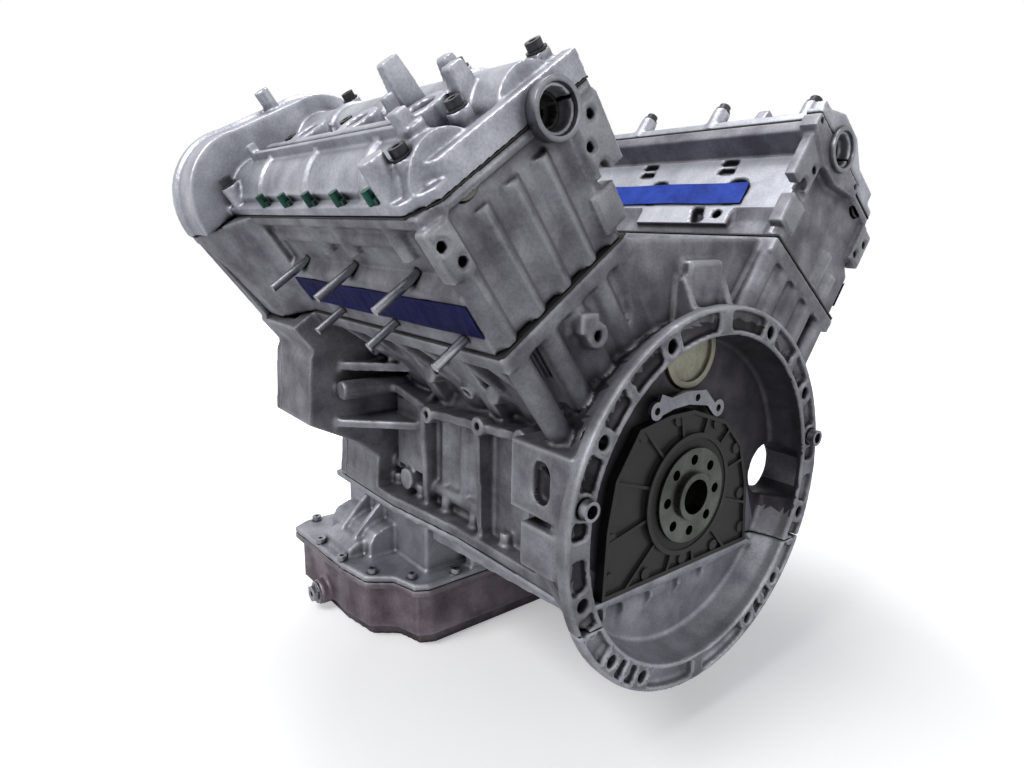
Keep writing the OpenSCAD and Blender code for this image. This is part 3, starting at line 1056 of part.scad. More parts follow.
module intake_camshaft(s) color([0.4, 0.4, 0.4]) camshaft(s, -cam_o, gear_y + gear_w + 3);
module exhaust_camshaft(s) color([0.4, 0.4, 0.4]) camshaft(s, cam_o, chain_y - 4);
module cam_sprocket(s) color([0.34, 0.34, 0.36]) bank(s) translate([cam_o, chain_y, seam_z]) rotate([-90, 0, 0])
    difference() {
        union() {
            translate([0, 0, -chain_w / 2]) linear_extrude(chain_w) sprocket(cam_teeth);
            translate([0, 0, -4]) cylinder(r = 20, h = 12);
        }
        for (k = [0:4]) rotate(k * 72) translate([33, 0, -10]) cylinder(r = 9, h = 30);
        translate([0, 0, -10]) cylinder(r = 5, h = 30);
    }
module crank_sprocket() color([0.34, 0.34, 0.36]) difference() {
    union() {
        along_y_at(chain_y, chain_w) sprocket(crank_teeth);
        rod_y(0, 0, nose_seat_d / 2 + 2.5, chain_y - 28, chain_y + 8);
    }
    rod_y(0, 0, nose_seat_d / 2, chain_y - 40, chain_y + 40);
}
balance_shaft_r = 14;
module balance_shaft() color([0.38, 0.38, 0.36]) translate([0, 0, balance_h]) difference() {
    union() {
        rod_y(0, 0, balance_shaft_r, rear_inner_y, chain_y - 3);
        for (y = [rear_inner_y + 2, case_back - 22])
            rod_y(0, 0, balance_bore / 2 - bearing_gap, y, y + 18);
        for (i = [0, 2])
            intersection() {
            rod_y(0, 0, balance_bore / 2 - 4, mid_y(i) - 28, mid_y(i) + 28);
            box([-big, 0, i == 0 ? -big : 0], [big, big, i == 0 ? 0 : big]);
            }
    }
    rod_y(0, 0, 5, chain_y - 40, chain_y);
}
module balance_sprocket() color([0.34, 0.34, 0.36]) translate([0, 0, balance_h]) difference() {
    union() {
        along_y_at(chain_y, chain_w) sprocket(crank_teeth);
        rod_y(0, 0, 17, chain_y - 3, chain_y + 8);
    }
    rod_y(0, 0, 5, chain_y - 10, chain_y + 20);
}

// The chain's loop: crank, right cam, under the balance shaft, left cam and back.
// A wheel outside the loop has a negative radius.
wheels = [[[0, 0], crank_chain_r], [[cam_x, cam_z], cam_chain_r], [[0, balance_h], -crank_chain_r],
          [[-cam_x, cam_z], cam_chain_r]];
function unit(a) = [cos(a), sin(a)];
function heading(a, b) = atan2(b[0][1] - a[0][1], b[0][0] - a[0][0]);
function normal_angle(a, b) = heading(a, b) - acos((a[1] - b[1]) / norm(b[0] - a[0]));
function leave(k) = let (a = wheels[k], b = wheels[(k + 1) % 4]) a[0] + a[1] * unit(normal_angle(a, b));
function arrive(k) = let (a = wheels[(k + 3) % 4], b = wheels[k]) b[0] + b[1] * unit(normal_angle(a, b));
function turn(k) = let (d = normal_angle(wheels[k], wheels[(k + 1) % 4]) - normal_angle(wheels[(k + 3) % 4], wheels[k]),
    w = (d + 720) % 360) wheels[k][1] > 0 ? w : w - 360;
function arc_len(k) = abs(turn(k)) * PI / 180 * abs(wheels[k][1]);
function run_len(k) = norm(arrive((k + 1) % 4) - leave(k));
part_len = [for (k = [0:3]) each [arc_len(k), run_len(k)]];
function total(v, n) = n < 0 ? 0 : v[n] + total(v, n - 1);
chain_len = total(part_len, 7);
links = 2 * round(chain_len / chain_pitch / 2);
function along(d, n = 0) = d <= part_len[n] || n == 7 ? spot(d, n) : along(d - part_len[n], n + 1);
function spot(d, n) = let (k = floor(n / 2), w = wheels[k])
    n % 2 == 1 ? leave(k) + (arrive((k + 1) % 4) - leave(k)) * d / run_len(k)
    : w[0] + w[1] * unit(normal_angle(wheels[(k + 3) % 4], w) + turn(k) * d / arc_len(k));
chain_spots = [for (i = [0:links - 1]) along((i + 0.25) * chain_len / links)];
plate_w = 7;
plate_waist = 4.4;
// One edge of the row of link plates: wide at each pin, narrow between two pins
function edge(side) = [for (i = [0:links - 1])
    let (p = chain_spots[i], q = chain_spots[(i + 1) % links], t = (q - p) / norm(q - p), n = side * [-t[1], t[0]])
        each [p - 1.5 * t + n * plate_w / 2, p + 1.5 * t + n * plate_w / 2, (p + q) / 2 + n * plate_waist / 2]];
module chain_plates() difference() {
    polygon(edge(-1));
    polygon(edge(1));
}
plate_t = 1.6;
plate_gap = 0.5;
// Rollers turn freely between the plates
roller_half = chain_w / 2 + plate_gap - 0.05;
module timing_chain() color([0.24, 0.24, 0.26]) {
    for (d = [-1, 1]) along_y_at(chain_y + d * (chain_w / 2 + plate_gap + plate_t / 2), plate_t) chain_plates();
    for (p = chain_spots) rod_y(p[0], p[1], roller_r - 1, chain_y - roller_half, chain_y + roller_half);
}

// Guide rails beside the two long outer runs, and the tensioner on the left one
guide_gap = plate_w / 2 + 0.6;
guide_angle = heading(wheels[0], wheels[1]) - asin((cam_chain_r - crank_chain_r) / norm(wheels[1][0]));
guide_mid = (leave(0) + arrive(1)) / 2;
guide_half = run_len(0) / 2 - 40;
module beside_run(s) mirror([s < 0 ? 1 : 0, 0, 0]) along_run() children();
module along_run() translate([guide_mid[0], 0, guide_mid[1]]) rotate([0, -guide_angle, 0]) children();
module chain_guide(s) color([0.2, 0.17, 0.14]) beside_run(s) {
    along_y_at(chain_y, 18)
        polygon([[-guide_half, -guide_gap], [guide_half, -guide_gap], [guide_half - 12, -guide_gap - 7],
            [0, -guide_gap - 11], [12 - guide_half, -guide_gap - 7]]);
    for (x = [-guide_half / 2, guide_half / 2]) rod_y(x, -guide_gap - 6, 4, case_back, chain_y + 9);
}
module chain_tensioner() color([0.55, 0.55, 0.57]) beside_run(LEFT) difference() {
    union() {
        box([-13, case_back, -guide_gap - 38], [13, chain_y + 9, -guide_gap - 16]);
        translate([0, chain_y, -guide_gap - 17]) cylinder(r = 6, h = 5.8);
    }
    translate([0, chain_y, -guide_gap - 50]) cylinder(r = 5, h = 20);
}

cylinder_block();
cylinder_liners();
main_bearing_caps();
cap_bolts();
rear_seal_cover();
rear_crank_seal();
core_plug();
plug_bracket();
dowel_sleeves();
head_gasket(LEFT);  // head_gasket_left
head_gasket(RIGHT);  // head_gasket_right
cylinder_head(LEFT);  // cylinder_head_left
cylinder_head(RIGHT);  // cylinder_head_right
cover_gasket(LEFT);  // cover_gasket_left
cover_gasket(RIGHT);  // cover_gasket_right
cam_cover(LEFT);  // cam_cover_left
cam_cover(RIGHT);  // cam_cover_right
timing_cover();
front_crank_seal();
upper_oil_pan();
lower_oil_pan();
drain_plug();
oil_pump();
oil_pickup();
piston(LEFT, 0);  // piston_left_1
piston(LEFT, 1);  // piston_left_2
piston(LEFT, 2);  // piston_left_3
piston(RIGHT, 0);  // piston_right_1
piston(RIGHT, 1);  // piston_right_2
piston(RIGHT, 2);  // piston_right_3
piston_pin(LEFT, 0);  // piston_pin_left_1
piston_pin(LEFT, 1);  // piston_pin_left_2
piston_pin(LEFT, 2);  // piston_pin_left_3
piston_pin(RIGHT, 0);  // piston_pin_right_1
piston_pin(RIGHT, 1);  // piston_pin_right_2
piston_pin(RIGHT, 2);  // piston_pin_right_3
intake_valves();
exhaust_valves();
valve_springs();
head_bolts();
exhaust_studs();
cover_screws();
cover_clips();
exhaust_port_tapes();
intake_port_tapes();
pan_screws();
crankshaft();
crank_sprocket();
intake_camshaft(LEFT);  // intake_camshaft_left
exhaust_camshaft(LEFT);  // exhaust_camshaft_left
intake_camshaft(RIGHT);  // intake_camshaft_right
exhaust_camshaft(RIGHT);  // exhaust_camshaft_right
cam_sprocket(LEFT);  // cam_sprocket_left
cam_sprocket(RIGHT);  // cam_sprocket_right
balance_shaft();
balance_sprocket();
chain_guide(LEFT);  // chain_guide_left
chain_guide(RIGHT);  // chain_guide_right
chain_tensioner();
timing_chain();
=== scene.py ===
# %% [markdown]
# # A bare V diesel engine
#
# The engine stands on its oil pan: an aluminium block with the gearbox bell cast on, two heads, two cam
# covers and all that turns inside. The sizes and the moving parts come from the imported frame. This script
# gives every piece its surface: sand-cast aluminium, machined steel, gaskets, tape and mouldings.

# %% Load the frame
import json
import math
import time

import bpy
from mathutils import Matrix, Vector

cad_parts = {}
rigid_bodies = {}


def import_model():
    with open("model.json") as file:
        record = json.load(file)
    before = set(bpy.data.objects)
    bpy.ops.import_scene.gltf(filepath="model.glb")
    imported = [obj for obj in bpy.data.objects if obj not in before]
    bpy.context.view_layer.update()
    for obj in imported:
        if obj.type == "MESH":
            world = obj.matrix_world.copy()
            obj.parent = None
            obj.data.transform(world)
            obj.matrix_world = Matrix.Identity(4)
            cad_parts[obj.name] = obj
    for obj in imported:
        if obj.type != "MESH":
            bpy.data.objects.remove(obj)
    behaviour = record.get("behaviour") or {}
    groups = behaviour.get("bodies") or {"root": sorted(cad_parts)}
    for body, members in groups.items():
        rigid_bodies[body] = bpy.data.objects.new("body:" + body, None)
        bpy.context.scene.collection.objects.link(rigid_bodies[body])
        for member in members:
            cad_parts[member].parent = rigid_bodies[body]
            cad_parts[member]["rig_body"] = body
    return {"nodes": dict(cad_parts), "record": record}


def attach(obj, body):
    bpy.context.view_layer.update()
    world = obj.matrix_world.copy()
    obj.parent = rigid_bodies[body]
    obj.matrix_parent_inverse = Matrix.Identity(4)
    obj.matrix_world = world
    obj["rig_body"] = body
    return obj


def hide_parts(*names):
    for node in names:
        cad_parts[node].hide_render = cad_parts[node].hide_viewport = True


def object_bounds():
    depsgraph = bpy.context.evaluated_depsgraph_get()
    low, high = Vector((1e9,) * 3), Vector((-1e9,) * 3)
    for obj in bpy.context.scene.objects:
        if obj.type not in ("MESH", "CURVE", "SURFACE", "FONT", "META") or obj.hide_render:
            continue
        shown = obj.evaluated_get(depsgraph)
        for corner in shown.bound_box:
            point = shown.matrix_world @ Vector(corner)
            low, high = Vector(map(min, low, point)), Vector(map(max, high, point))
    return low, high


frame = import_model()
nodes = frame["nodes"]
cad_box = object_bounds()
MM = 0.001
started = time.time()
print("frame:", len(nodes), "nodes,", [round(v, 3) for v in cad_box[1] - cad_box[0]], "m")

# %% [markdown]
# ## The camera
#
# The photograph was taken from close by, a little above the gearbox flange and to the left of it, so the
# near bank looks much larger than the far one. A short lens at the true distance gives the same picture.

# %% Place the camera
CAMERA_PLACE = Vector((-0.5318, -0.3854, 0.2513))
CAMERA_AZIMUTH = math.radians(-38.61)
CAMERA_ELEVATION = math.radians(12.895)
CAMERA_ROLL = math.radians(1.131)

back = Vector((
    math.sin(CAMERA_AZIMUTH) * math.cos(CAMERA_ELEVATION),
    -math.cos(CAMERA_AZIMUTH) * math.cos(CAMERA_ELEVATION),
    math.sin(CAMERA_ELEVATION),
))
level_right = (-back).cross(Vector((0, 0, 1))).normalized()
level_up = level_right.cross(-back)
right = math.cos(CAMERA_ROLL) * level_right + math.sin(CAMERA_ROLL) * level_up
up = right.cross(-back)

camera = bpy.data.objects.new("camera", bpy.data.cameras.new("camera"))
bpy.context.scene.collection.objects.link(camera)
camera.data.lens = 24.62
camera.data.sensor_width = 36
camera.data.clip_start = 0.01
camera.matrix_world = Matrix((right, up, back)).transposed().to_4x4()
camera.location = CAMERA_PLACE
bpy.context.scene.camera = camera

# %% [markdown]
# ## Colours and nodes
#
# Paint charts and colour pickers give sRGB codes, and Blender calculates in linear light, so one function
# turns the codes. A second one adds a shader node with its settings, because each finish needs a dozen.

# %% Colour codes and shader nodes
def colour(code):
    """An sRGB code such as #a0a0a8 as Blender's linear colour."""
    parts = [int(code[i:i + 2], 16) / 255 for i in (1, 3, 5)]
    return tuple(p / 12.92 if p <= 0.04045 else ((p + 0.055) / 1.055) ** 2.4 for p in parts) + (1,)


def add(tree, kind, inputs=None, **settings):
    """Adds a shader node, sets its properties, and fills or links its inputs."""
    node = tree.nodes.new("ShaderNode" + kind)
    for name, value in settings.items():
        setattr(node, name, value)
    for name, value in (inputs or {}).items():
        if isinstance(value, bpy.types.NodeSocket):
            tree.links.new(value, node.inputs[name])
        else:
            node.inputs[name].default_value = value
    return node


def ramp(tree, value, low, high, low_to, high_to):
    """Stretches a value from the range low..high to low_to..high_to."""
    return add(tree, "MapRange", {"Value": value, "From Min": low, "From Max": high,
                                  "To Min": low_to, "To Max": high_to}).outputs["Result"]


def noise(tree, place, size_mm, detail=3, roughness=0.55):
    """Noise whose blobs are about size_mm across."""
    return add(tree, "TexNoise", {"Vector": place, "Scale": 1 / (size_mm * MM), "Detail": detail,
                                  "Roughness": roughness}).outputs["Fac"]


def mix(tree, amount, first, second, blend="MIX"):
    """Mixes two colours; each is a socket or a linear colour."""
    node = add(tree, "Mix", data_type="RGBA", blend_type=blend)
    for socket, value in ((node.inputs[0], amount), (node.inputs[6], first), (node.inputs[7], second)):
        if isinstance(value, bpy.types.NodeSocket):
            tree.links.new(value, socket)
        else:
            socket.default_value = value
    return node.outputs[2]


# %% [markdown]
# ## Metal finishes
#
# All the metal here is one recipe with other numbers. Blasted aluminium is grey and dull, with grit as fine
# as the sand, cloudy stains from handling, and corners darkened partly by dirt and partly by painted shade.
# Machined steel has the same stains and darkened corners, but hardly any grit. The grit's bump is drawn at
# about 1 mm, because finer grit would fall between the picture's pixels.

# %% One recipe for metal
def metal(name, light, dark, shade_and_dirt="#2e2a2e", rough=(0.45, 0.6), metallic=0.75, grit_mm=1.1, grit=0.12,
          cloud_mm=38, cavity_mm=9, edge_mm=0.0, wear_and_highlight=0.0):
    """A metal with clouds between two tones, grime and painted shade in its corners, grit, and edges
    lightened as wear and as a painted highlight.
    """
    material = bpy.data.materials.new(name)
    material.use_nodes = True
    tree = material.node_tree
    shader = tree.nodes["Principled BSDF"]
    place = add(tree, "TexCoord").outputs["Object"]
    cloud = ramp(tree, noise(tree, place, cloud_mm, 5), 0.35, 0.65, 0, 1)
    tone = mix(tree, cloud, colour(dark), colour(light))
    speck = ramp(tree, noise(tree, place, grit_mm * 2.2, 2), 0.3, 0.7, 0.86, 1.1)
    tone = mix(tree, 1.0, tone, speck, "MULTIPLY")
    # Painted highlight: ridges and edges are lightened towards pale grey, partly as wear and partly as a
    # painted highlight
    if wear_and_highlight:
        ridge = add(tree, "NewGeometry").outputs["Pointiness"]
        tone = mix(tree, ramp(tree, ridge, 0.51, 0.6, 0, wear_and_highlight), tone, colour("#dcdde2"))
    # Painted shade: occlusion darkens corners and recesses towards the dark corner colour, which also stands
    # for real dirt
    corner = add(tree, "AmbientOcclusion", {"Distance": cavity_mm * MM}, samples=6).outputs["AO"]
    shade = ramp(tree, corner, 0.35, 0.85, 0, 1)
    tree.links.new(mix(tree, shade, colour(shade_and_dirt), tone), shader.inputs["Base Color"])
    shader.inputs["Metallic"].default_value = metallic
    tree.links.new(ramp(tree, cloud, 0, 1, rough[1], rough[0]), shader.inputs["Roughness"])
    bump_inputs = {"Height": noise(tree, place, grit_mm, 3), "Strength": grit, "Distance": grit_mm * MM}
    if edge_mm:
        bump_inputs["Normal"] = add(tree, "Bevel", {"Radius": edge_mm * MM}, samples=4).outputs["Normal"]
    tree.links.new(add(tree, "Bump", bump_inputs).outputs["Normal"], shader.inputs["Normal"])
    return material


FINISHES = {
    # Sand-cast aluminium after blasting: dull grey with a lilac cast in the shade
    "cast_aluminium": metal("sand-cast aluminium", "#8f8f96", "#66646c", shade_and_dirt="#1c191e", cavity_mm=14,
                            wear_and_highlight=0.5),
    # Painted shade: inside the bell a dark casting finish stands for the shade that falls behind the ring and
    # round the seal cover
    "bell_painted_shade": metal("casting with painted bell shade", "#4d4a50", "#2d2a2f", shade_and_dirt="#121013",
                             rough=(0.4, 0.6), metallic=0.6, cavity_mm=16),
    # Faces milled for a gasket or a bolted part are smooth, and mirror what stands opposite
    "milled_aluminium": metal("milled aluminium", "#8c8d93", "#707177", shade_and_dirt="#211e25", rough=(0.28, 0.4),
                              metallic=0.95, grit_mm=0.8, grit=0.03, cavity_mm=5),
    # Painted light: the intake faces get a near-white milled finish for the light that falls on them
    "painted_light_milled": metal("milled aluminium with painted light", "#cfd2da", "#aaacb5", shade_and_dirt="#3a3840",
                           rough=(0.32, 0.45), metallic=0.75, grit_mm=0.8, grit=0.03, cavity_mm=5),
    # Painted light: the upper pan gets a paler copy of the cast aluminium for the light that falls on it from
    # above
    "painted_light_casting": metal("sand-cast aluminium with painted light", "#adaeb5", "#85848d", shade_and_dirt="#1f1c21", cavity_mm=12,
                          wear_and_highlight=0.5),
    # The covers were blasted last and are the palest castings
    "cover_aluminium": metal("blasted cover aluminium", "#b6b8c0", "#92949d", shade_and_dirt="#232028",
                             rough=(0.38, 0.5), grit=0.08, cavity_mm=14, wear_and_highlight=0.5),
    # The lower pan has baked-on oil in its skin
    "pan_aluminium": metal("oil-stained aluminium", "#8b8087", "#5f545b", shade_and_dirt="#2a2024", rough=(0.4, 0.55),
                           cavity_mm=14, wear_and_highlight=0.4),
    "iron": metal("honed cast iron", "#77777a", "#5c5c60", grit=0.05, edge_mm=0.5),
    "machined_steel": metal("oiled machined steel", "#6f716b", "#4d4f4a", shade_and_dirt="#15120f", rough=(0.22, 0.36),
                            metallic=1.0, grit=0.03, edge_mm=0.6),
    "plated_steel": metal("zinc-plated steel", "#a9aab0", "#8c8d94", rough=(0.25, 0.38), metallic=1.0,
                          grit=0.04, cavity_mm=4, edge_mm=0.4),
    "black_steel": metal("phosphated black steel", "#505055", "#323236", shade_and_dirt="#151516", rough=(0.35, 0.5),
                         metallic=0.8, grit=0.05, cavity_mm=4, edge_mm=0.4),
    "plug_paint": metal("cream-passivated pressed steel", "#b4b3a0", "#8f8c79", shade_and_dirt="#3a362c",
                        rough=(0.3, 0.45), metallic=0.5, grit=0.04, edge_mm=0.8),
    "clip_green": metal("green chromated spring steel", "#24564a", "#16382f", shade_and_dirt="#0b1512",
                        rough=(0.3, 0.4), metallic=0.7, grit=0.03, cavity_mm=3, edge_mm=0.4),
    "chain_steel": metal("blued chain steel", "#4a4b52", "#34353b", shade_and_dirt="#0f0e0e", rough=(0.25, 0.35),
                         metallic=1.0, grit=0.02, cavity_mm=3),
}
print("metal finishes:", len(FINISHES))

# %% [markdown]
# ## Mouldings, rubber, gaskets and tape
#
# These don't reflect like metal. The seal cover is a black moulding with a satin skin, the gaskets are
# coated sheet, and the ports are closed with adhesive tape: dark navy beside the exhaust ports, and a
# brighter blue on the intake side, both with soft creases.

# %% One recipe for what isn't metal
def skin(name, light, dark, rough=0.5, grain_mm=1.5, grain=0.08, cloud_mm=30, gloss=0.5, edge_mm=0.0):
    """A moulding, rubber or tape with clouds between two tones and a fine or creased grain."""
    material = bpy.data.materials.new(name)
    material.use_nodes = True
    tree = material.node_tree
    shader = tree.nodes["Principled BSDF"]
    place = add(tree, "TexCoord").outputs["Object"]
    cloud = ramp(tree, noise(tree, place, cloud_mm, 4), 0.35, 0.65, 0, 1)
    tree.links.new(mix(tree, cloud, colour(dark), colour(light)), shader.inputs["Base Color"])
    shader.inputs["Roughness"].default_value = rough
    shader.inputs["Specular IOR Level"].default_value = gloss
    bump_inputs = {"Height": noise(tree, place, grain_mm, 3), "Strength": grain, "Distance": grain_mm * MM}
    if edge_mm:
        bump_inputs["Normal"] = add(tree, "Bevel", {"Radius": edge_mm * MM}, samples=4).outputs["Normal"]
    tree.links.new(add(tree, "Bump", bump_inputs).outputs["Normal"], shader.inputs["Normal"])
    return material


FINISHES.update({
    "black_moulding": skin("satin black moulding", "#1b1715", "#110e0d", rough=0.42, edge_mm=1.0),
    "seal_rubber": skin("black seal rubber", "#141416", "#0c0c0d", rough=0.6, edge_mm=0.6),
    "gasket": skin("coated gasket sheet", "#1b1b1e", "#101012", rough=0.55),
    "navy_tape": skin("navy adhesive tape", "#10134f", "#0a0c38", rough=0.6, grain_mm=9, grain=0.2,
                      gloss=0.08),
    "blue_tape": skin("bright blue adhesive tape", "#2c4ab0", "#1d3690", rough=0.55, grain_mm=9, grain=0.2,
                      gloss=0.2),
    "guide_plastic": skin("brown low-friction moulding", "#4a3f33", "#372e25", rough=0.4),
})
print("finishes:", len(FINISHES))

# %% [markdown]
# ## Every piece gets its finish
#
# The frame's record says which finish each node has, so the list isn't written a second time.

# %% Dress the nodes of the frame
slot_of = {row["node"]: row["material_slot"] for row in frame["record"]["subparts"]}


def dress(piece, finish):
    """Gives a piece one finish all over."""
    piece.data.materials.clear()
    piece.data.materials.append(FINISHES[finish])


for name, node in nodes.items():
    dress(node, slot_of[name])

# %% [markdown]
# ## Castings with soft corners
#
# A sand mould can't hold a sharp corner: every rib, boss and wall of a casting runs into the next with a
# fillet of a few millimetres. Drawing each fillet would take days. Instead a copy of the casting is
# rebuilt from small cubes, which joins all its forms into one skin, and that skin is relaxed a little, so
# inner and outer corners go round at once. Flat stretches are then thinned out again.

# %% Recast a node
def copy_node(node_name, new_name):
    """A merged copy of a CAD node's mesh as an object of its own, selected alone."""
    bpy.ops.object.select_all(action="DESELECT")
    piece = bpy.data.objects.new(new_name, nodes[node_name].data.copy())
    bpy.context.scene.collection.objects.link(piece)
    bpy.context.view_layer.objects.active = piece
    piece.select_set(True)
    bpy.ops.object.mode_set(mode="EDIT")
    bpy.ops.mesh.select_all(action="SELECT")
    bpy.ops.mesh.remove_doubles(threshold=0.00001)
    bpy.ops.object.mode_set(mode="OBJECT")
    return piece


def stand_for(piece, *node_names):
    """Puts a piece on the body of the nodes that it replaces, with their finish."""
    dress(piece, slot_of[node_names[0]])
    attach(piece, nodes[node_names[0]]["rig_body"])
    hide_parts(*node_names)


def recast(node_name, extras=(), grain_mm=2.0, keep=0.3):
    """Replaces a CAD casting with a copy whose corners are rounded; extra forms are cast on."""
    piece = copy_node(node_name, node_name + "_casting")
    for extra in extras:
        extra.select_set(True)
    if extras:
        bpy.ops.object.join()
    cubes = piece.modifiers.new("cubes", "REMESH")
    cubes.mode = "VOXEL"
    cubes.voxel_size = grain_mm * MM
    soft = piece.modifiers.new("soft", "SMOOTH")
    soft.factor = 0.5
    soft.iterations = 3
    thin = piece.modifiers.new("thin", "DECIMATE")
    thin.ratio = keep
    for modifier in ("cubes", "soft", "thin"):
        bpy.ops.object.modifier_apply(modifier=modifier)
    bpy.ops.object.shade_smooth_by_angle(angle=math.radians(42))
    stand_for(piece, node_name)
    print(piece.name, len(piece.data.polygons), "faces", round(time.time() - started, 1), "s")
    return piece


# %% [markdown]
# ## Working in a bank's own directions
#
# The cylinders lean outward by half the V angle. Anything on a bank is easier to place by how far outboard
# it is, how far forward, and how far up the cylinder, and one matrix then leans it over. The left bank is the
# mirror image of the right one, so the faces of its pieces are turned the right way round again.

# %% Lean a piece over
HALF_V = math.radians(36)
LEFT, RIGHT = -1, 1
BANK_REAR = {LEFT: 12.5, RIGHT: -3.5}
# How far up the cylinder the head and the camshafts' middle are
HEAD_Z, SEAM_Z = 257.6, 376.0
# How far outboard the faces with the ports are, and how far from the bank's middle a camshaft is
EXHAUST_FACE, INTAKE_FACE, CAM_O = 90, -65, 44
# The milled face of the bell and the pan, behind the crankshaft flange's rear face
GEARBOX_FACE = 23.5
BORE_PITCH = 106


def bank(side):
    """Turns outboard, forward and up-the-cylinder into the engine's X, Y and Z."""
    c, s = math.cos(HALF_V), math.sin(HALF_V)
    return Matrix(((side * c, 0, side * s, 0), (0, 1, 0, 0), (-s, 0, c, 0), (0, 0, 0, 1)))


def lean(piece, side):
    """Settles a piece that was made in bank directions onto its bank, its object at the origin."""
    bpy.ops.object.select_all(action="DESELECT")
    bpy.context.view_layer.objects.active = piece
    piece.select_set(True)
    bpy.ops.object.transform_apply(location=True, rotation=True, scale=True)
    piece.data.transform(bank(side))
    if side == LEFT:
        piece.data.flip_normals()
    return piece


def block(side, low, high, taper=1.0):
    """A cast block between two corners in mm, in bank directions, its top drawn in by taper."""
    bpy.ops.object.select_all(action="DESELECT")
    middle = [(a + b) / 2 * MM for a, b in zip(low, high)]
    bpy.ops.mesh.primitive_cube_add(size=1, location=middle)
    piece = bpy.context.object
    piece.scale = [(b - a) * MM for a, b in zip(low, high)]
    for vertex in piece.data.vertices:
        if vertex.co.z > 0:
            vertex.co.x *= taper
            vertex.co.y *= taper
    return lean(piece, side)


# %% [markdown]
# ## Machined faces
#
# A casting is milled flat where something is bolted to it. Those faces are picked by where they lie, after
# the corners are rounded, so that the milling stops at a soft edge as it does on the real engine.

# %% Mill and stain
def mill(piece, facing, at_mm, reach_mm=0.5, finish="milled_aluminium"):
    """Gives the faces of a casting that lie in one plane a milled finish."""
    finishes = [material.name for material in piece.data.materials]
    if FINISHES[finish].name not in finishes:
        piece.data.materials.append(FINISHES[finish])
        finishes.append(FINISHES[finish].name)
    facing = Vector(facing)
    count = 0
    for face in piece.data.polygons:
        if face.normal.dot(facing) > 0.985 and abs(face.center.dot(facing) - at_mm * MM) < reach_mm * MM:
            face.material_index = finishes.index(FINISHES[finish].name)
            count += 1
    print(piece.name, "milled faces:", count)


def paint_bell_shade(piece, inside_radius=172, floor_z=-50):
    """Paints shade on the space behind the machined ring, round the seal cover, with a dark casting finish.
    """
    piece.data.materials.append(FINISHES["bell_painted_shade"])
    for face in piece.data.polygons:
        spot = face.center / MM
        inside = spot.x * spot.x + spot.z * spot.z < inside_radius * inside_radius
        if inside and -21 < spot.y < 45 and spot.z > floor_z:
            face.material_index = len(piece.data.materials) - 1


def towards(side, outboard, up):
    """A direction given outboard and up the cylinder, in the engine's directions."""
    return (bank(side).to_3x3() @ Vector((outboard, 0, up))).normalized()


# %% [markdown]
# ## Forms that are cast on
#
# The left cover carries a long bar on its outboard barrel, with a block at each end, and a tapered post
# beside the camshaft. They join the copy of the cover before its corners are rounded, so they grow out of
# it. The sizes are in bank directions: outboard, forward, up the cylinder.

# %% Add to the left cover
def cover_extras(side):
    """The bar along the left cover's outboard barrel, the blocks at its ends, and a tapered post."""
    if side == RIGHT:
        return ()
    return (
        block(side, (40, 50, 402), (46, 345, 421)),
        block(side, (36, 40, 398), (50, 56, 431), 0.8),
        block(side, (36, 338, 400), (48, 352, 429), 0.7),
        block(side, (-38, 58, 384), (-14, 78, 430), 0.6),
    )


# %% [markdown]
# ## Casting them all
#
# The grain is the size of the cubes: small ones keep the covers' detail, and larger ones do for the block.
# Each casting is then milled where the photograph shows bare bright metal. The intake faces and the upper pan
# get paler finishes as painted light, and the inside of the bell a dark one as painted shade.

# %% Cast the block, the heads, the covers and the pans
block_casting = recast("cylinder_block", grain_mm=2.4, keep=0.25)
# The dark finish inside the bell is painted shade
paint_bell_shade(block_casting)
mill(block_casting, (0, -1, 0), GEARBOX_FACE)
for side, name in ((LEFT, "left"), (RIGHT, "right")):
    head = recast("cylinder_head_" + name, keep=0.35)
    # The intake faces' near-white finish is painted light
    mill(head, towards(side, -1, 0), 0.5 - INTAKE_FACE, 1.0, "painted_light_milled")
    for behind in (4, 2, 0):
        mill(head, (0, -1, 0), behind - BANK_REAR[side], 0.4)
    recast("cam_cover_" + name, cover_extras(side), grain_mm=1.8, keep=0.5)
pan = recast("upper_oil_pan", grain_mm=2.2, keep=0.4)
# The upper pan's paler finish is painted light
pan.data.materials[0] = FINISHES["painted_light_casting"]
mill(pan, (0, -1, 0), GEARBOX_FACE)
recast("lower_oil_pan", grain_mm=2.4, keep=0.5)
recast("timing_cover", grain_mm=2.4, keep=0.4)

# %% [markdown]
# ## Tape over the ports
#
# After the clean-up the ports were closed with adhesive tape so that nothing falls in. Tape is thin and flat,
# but it sinks a little over each port and wrinkles where it was smoothed down, so each strip is a fine grid
# whose points are moved by those two things, then thickened.

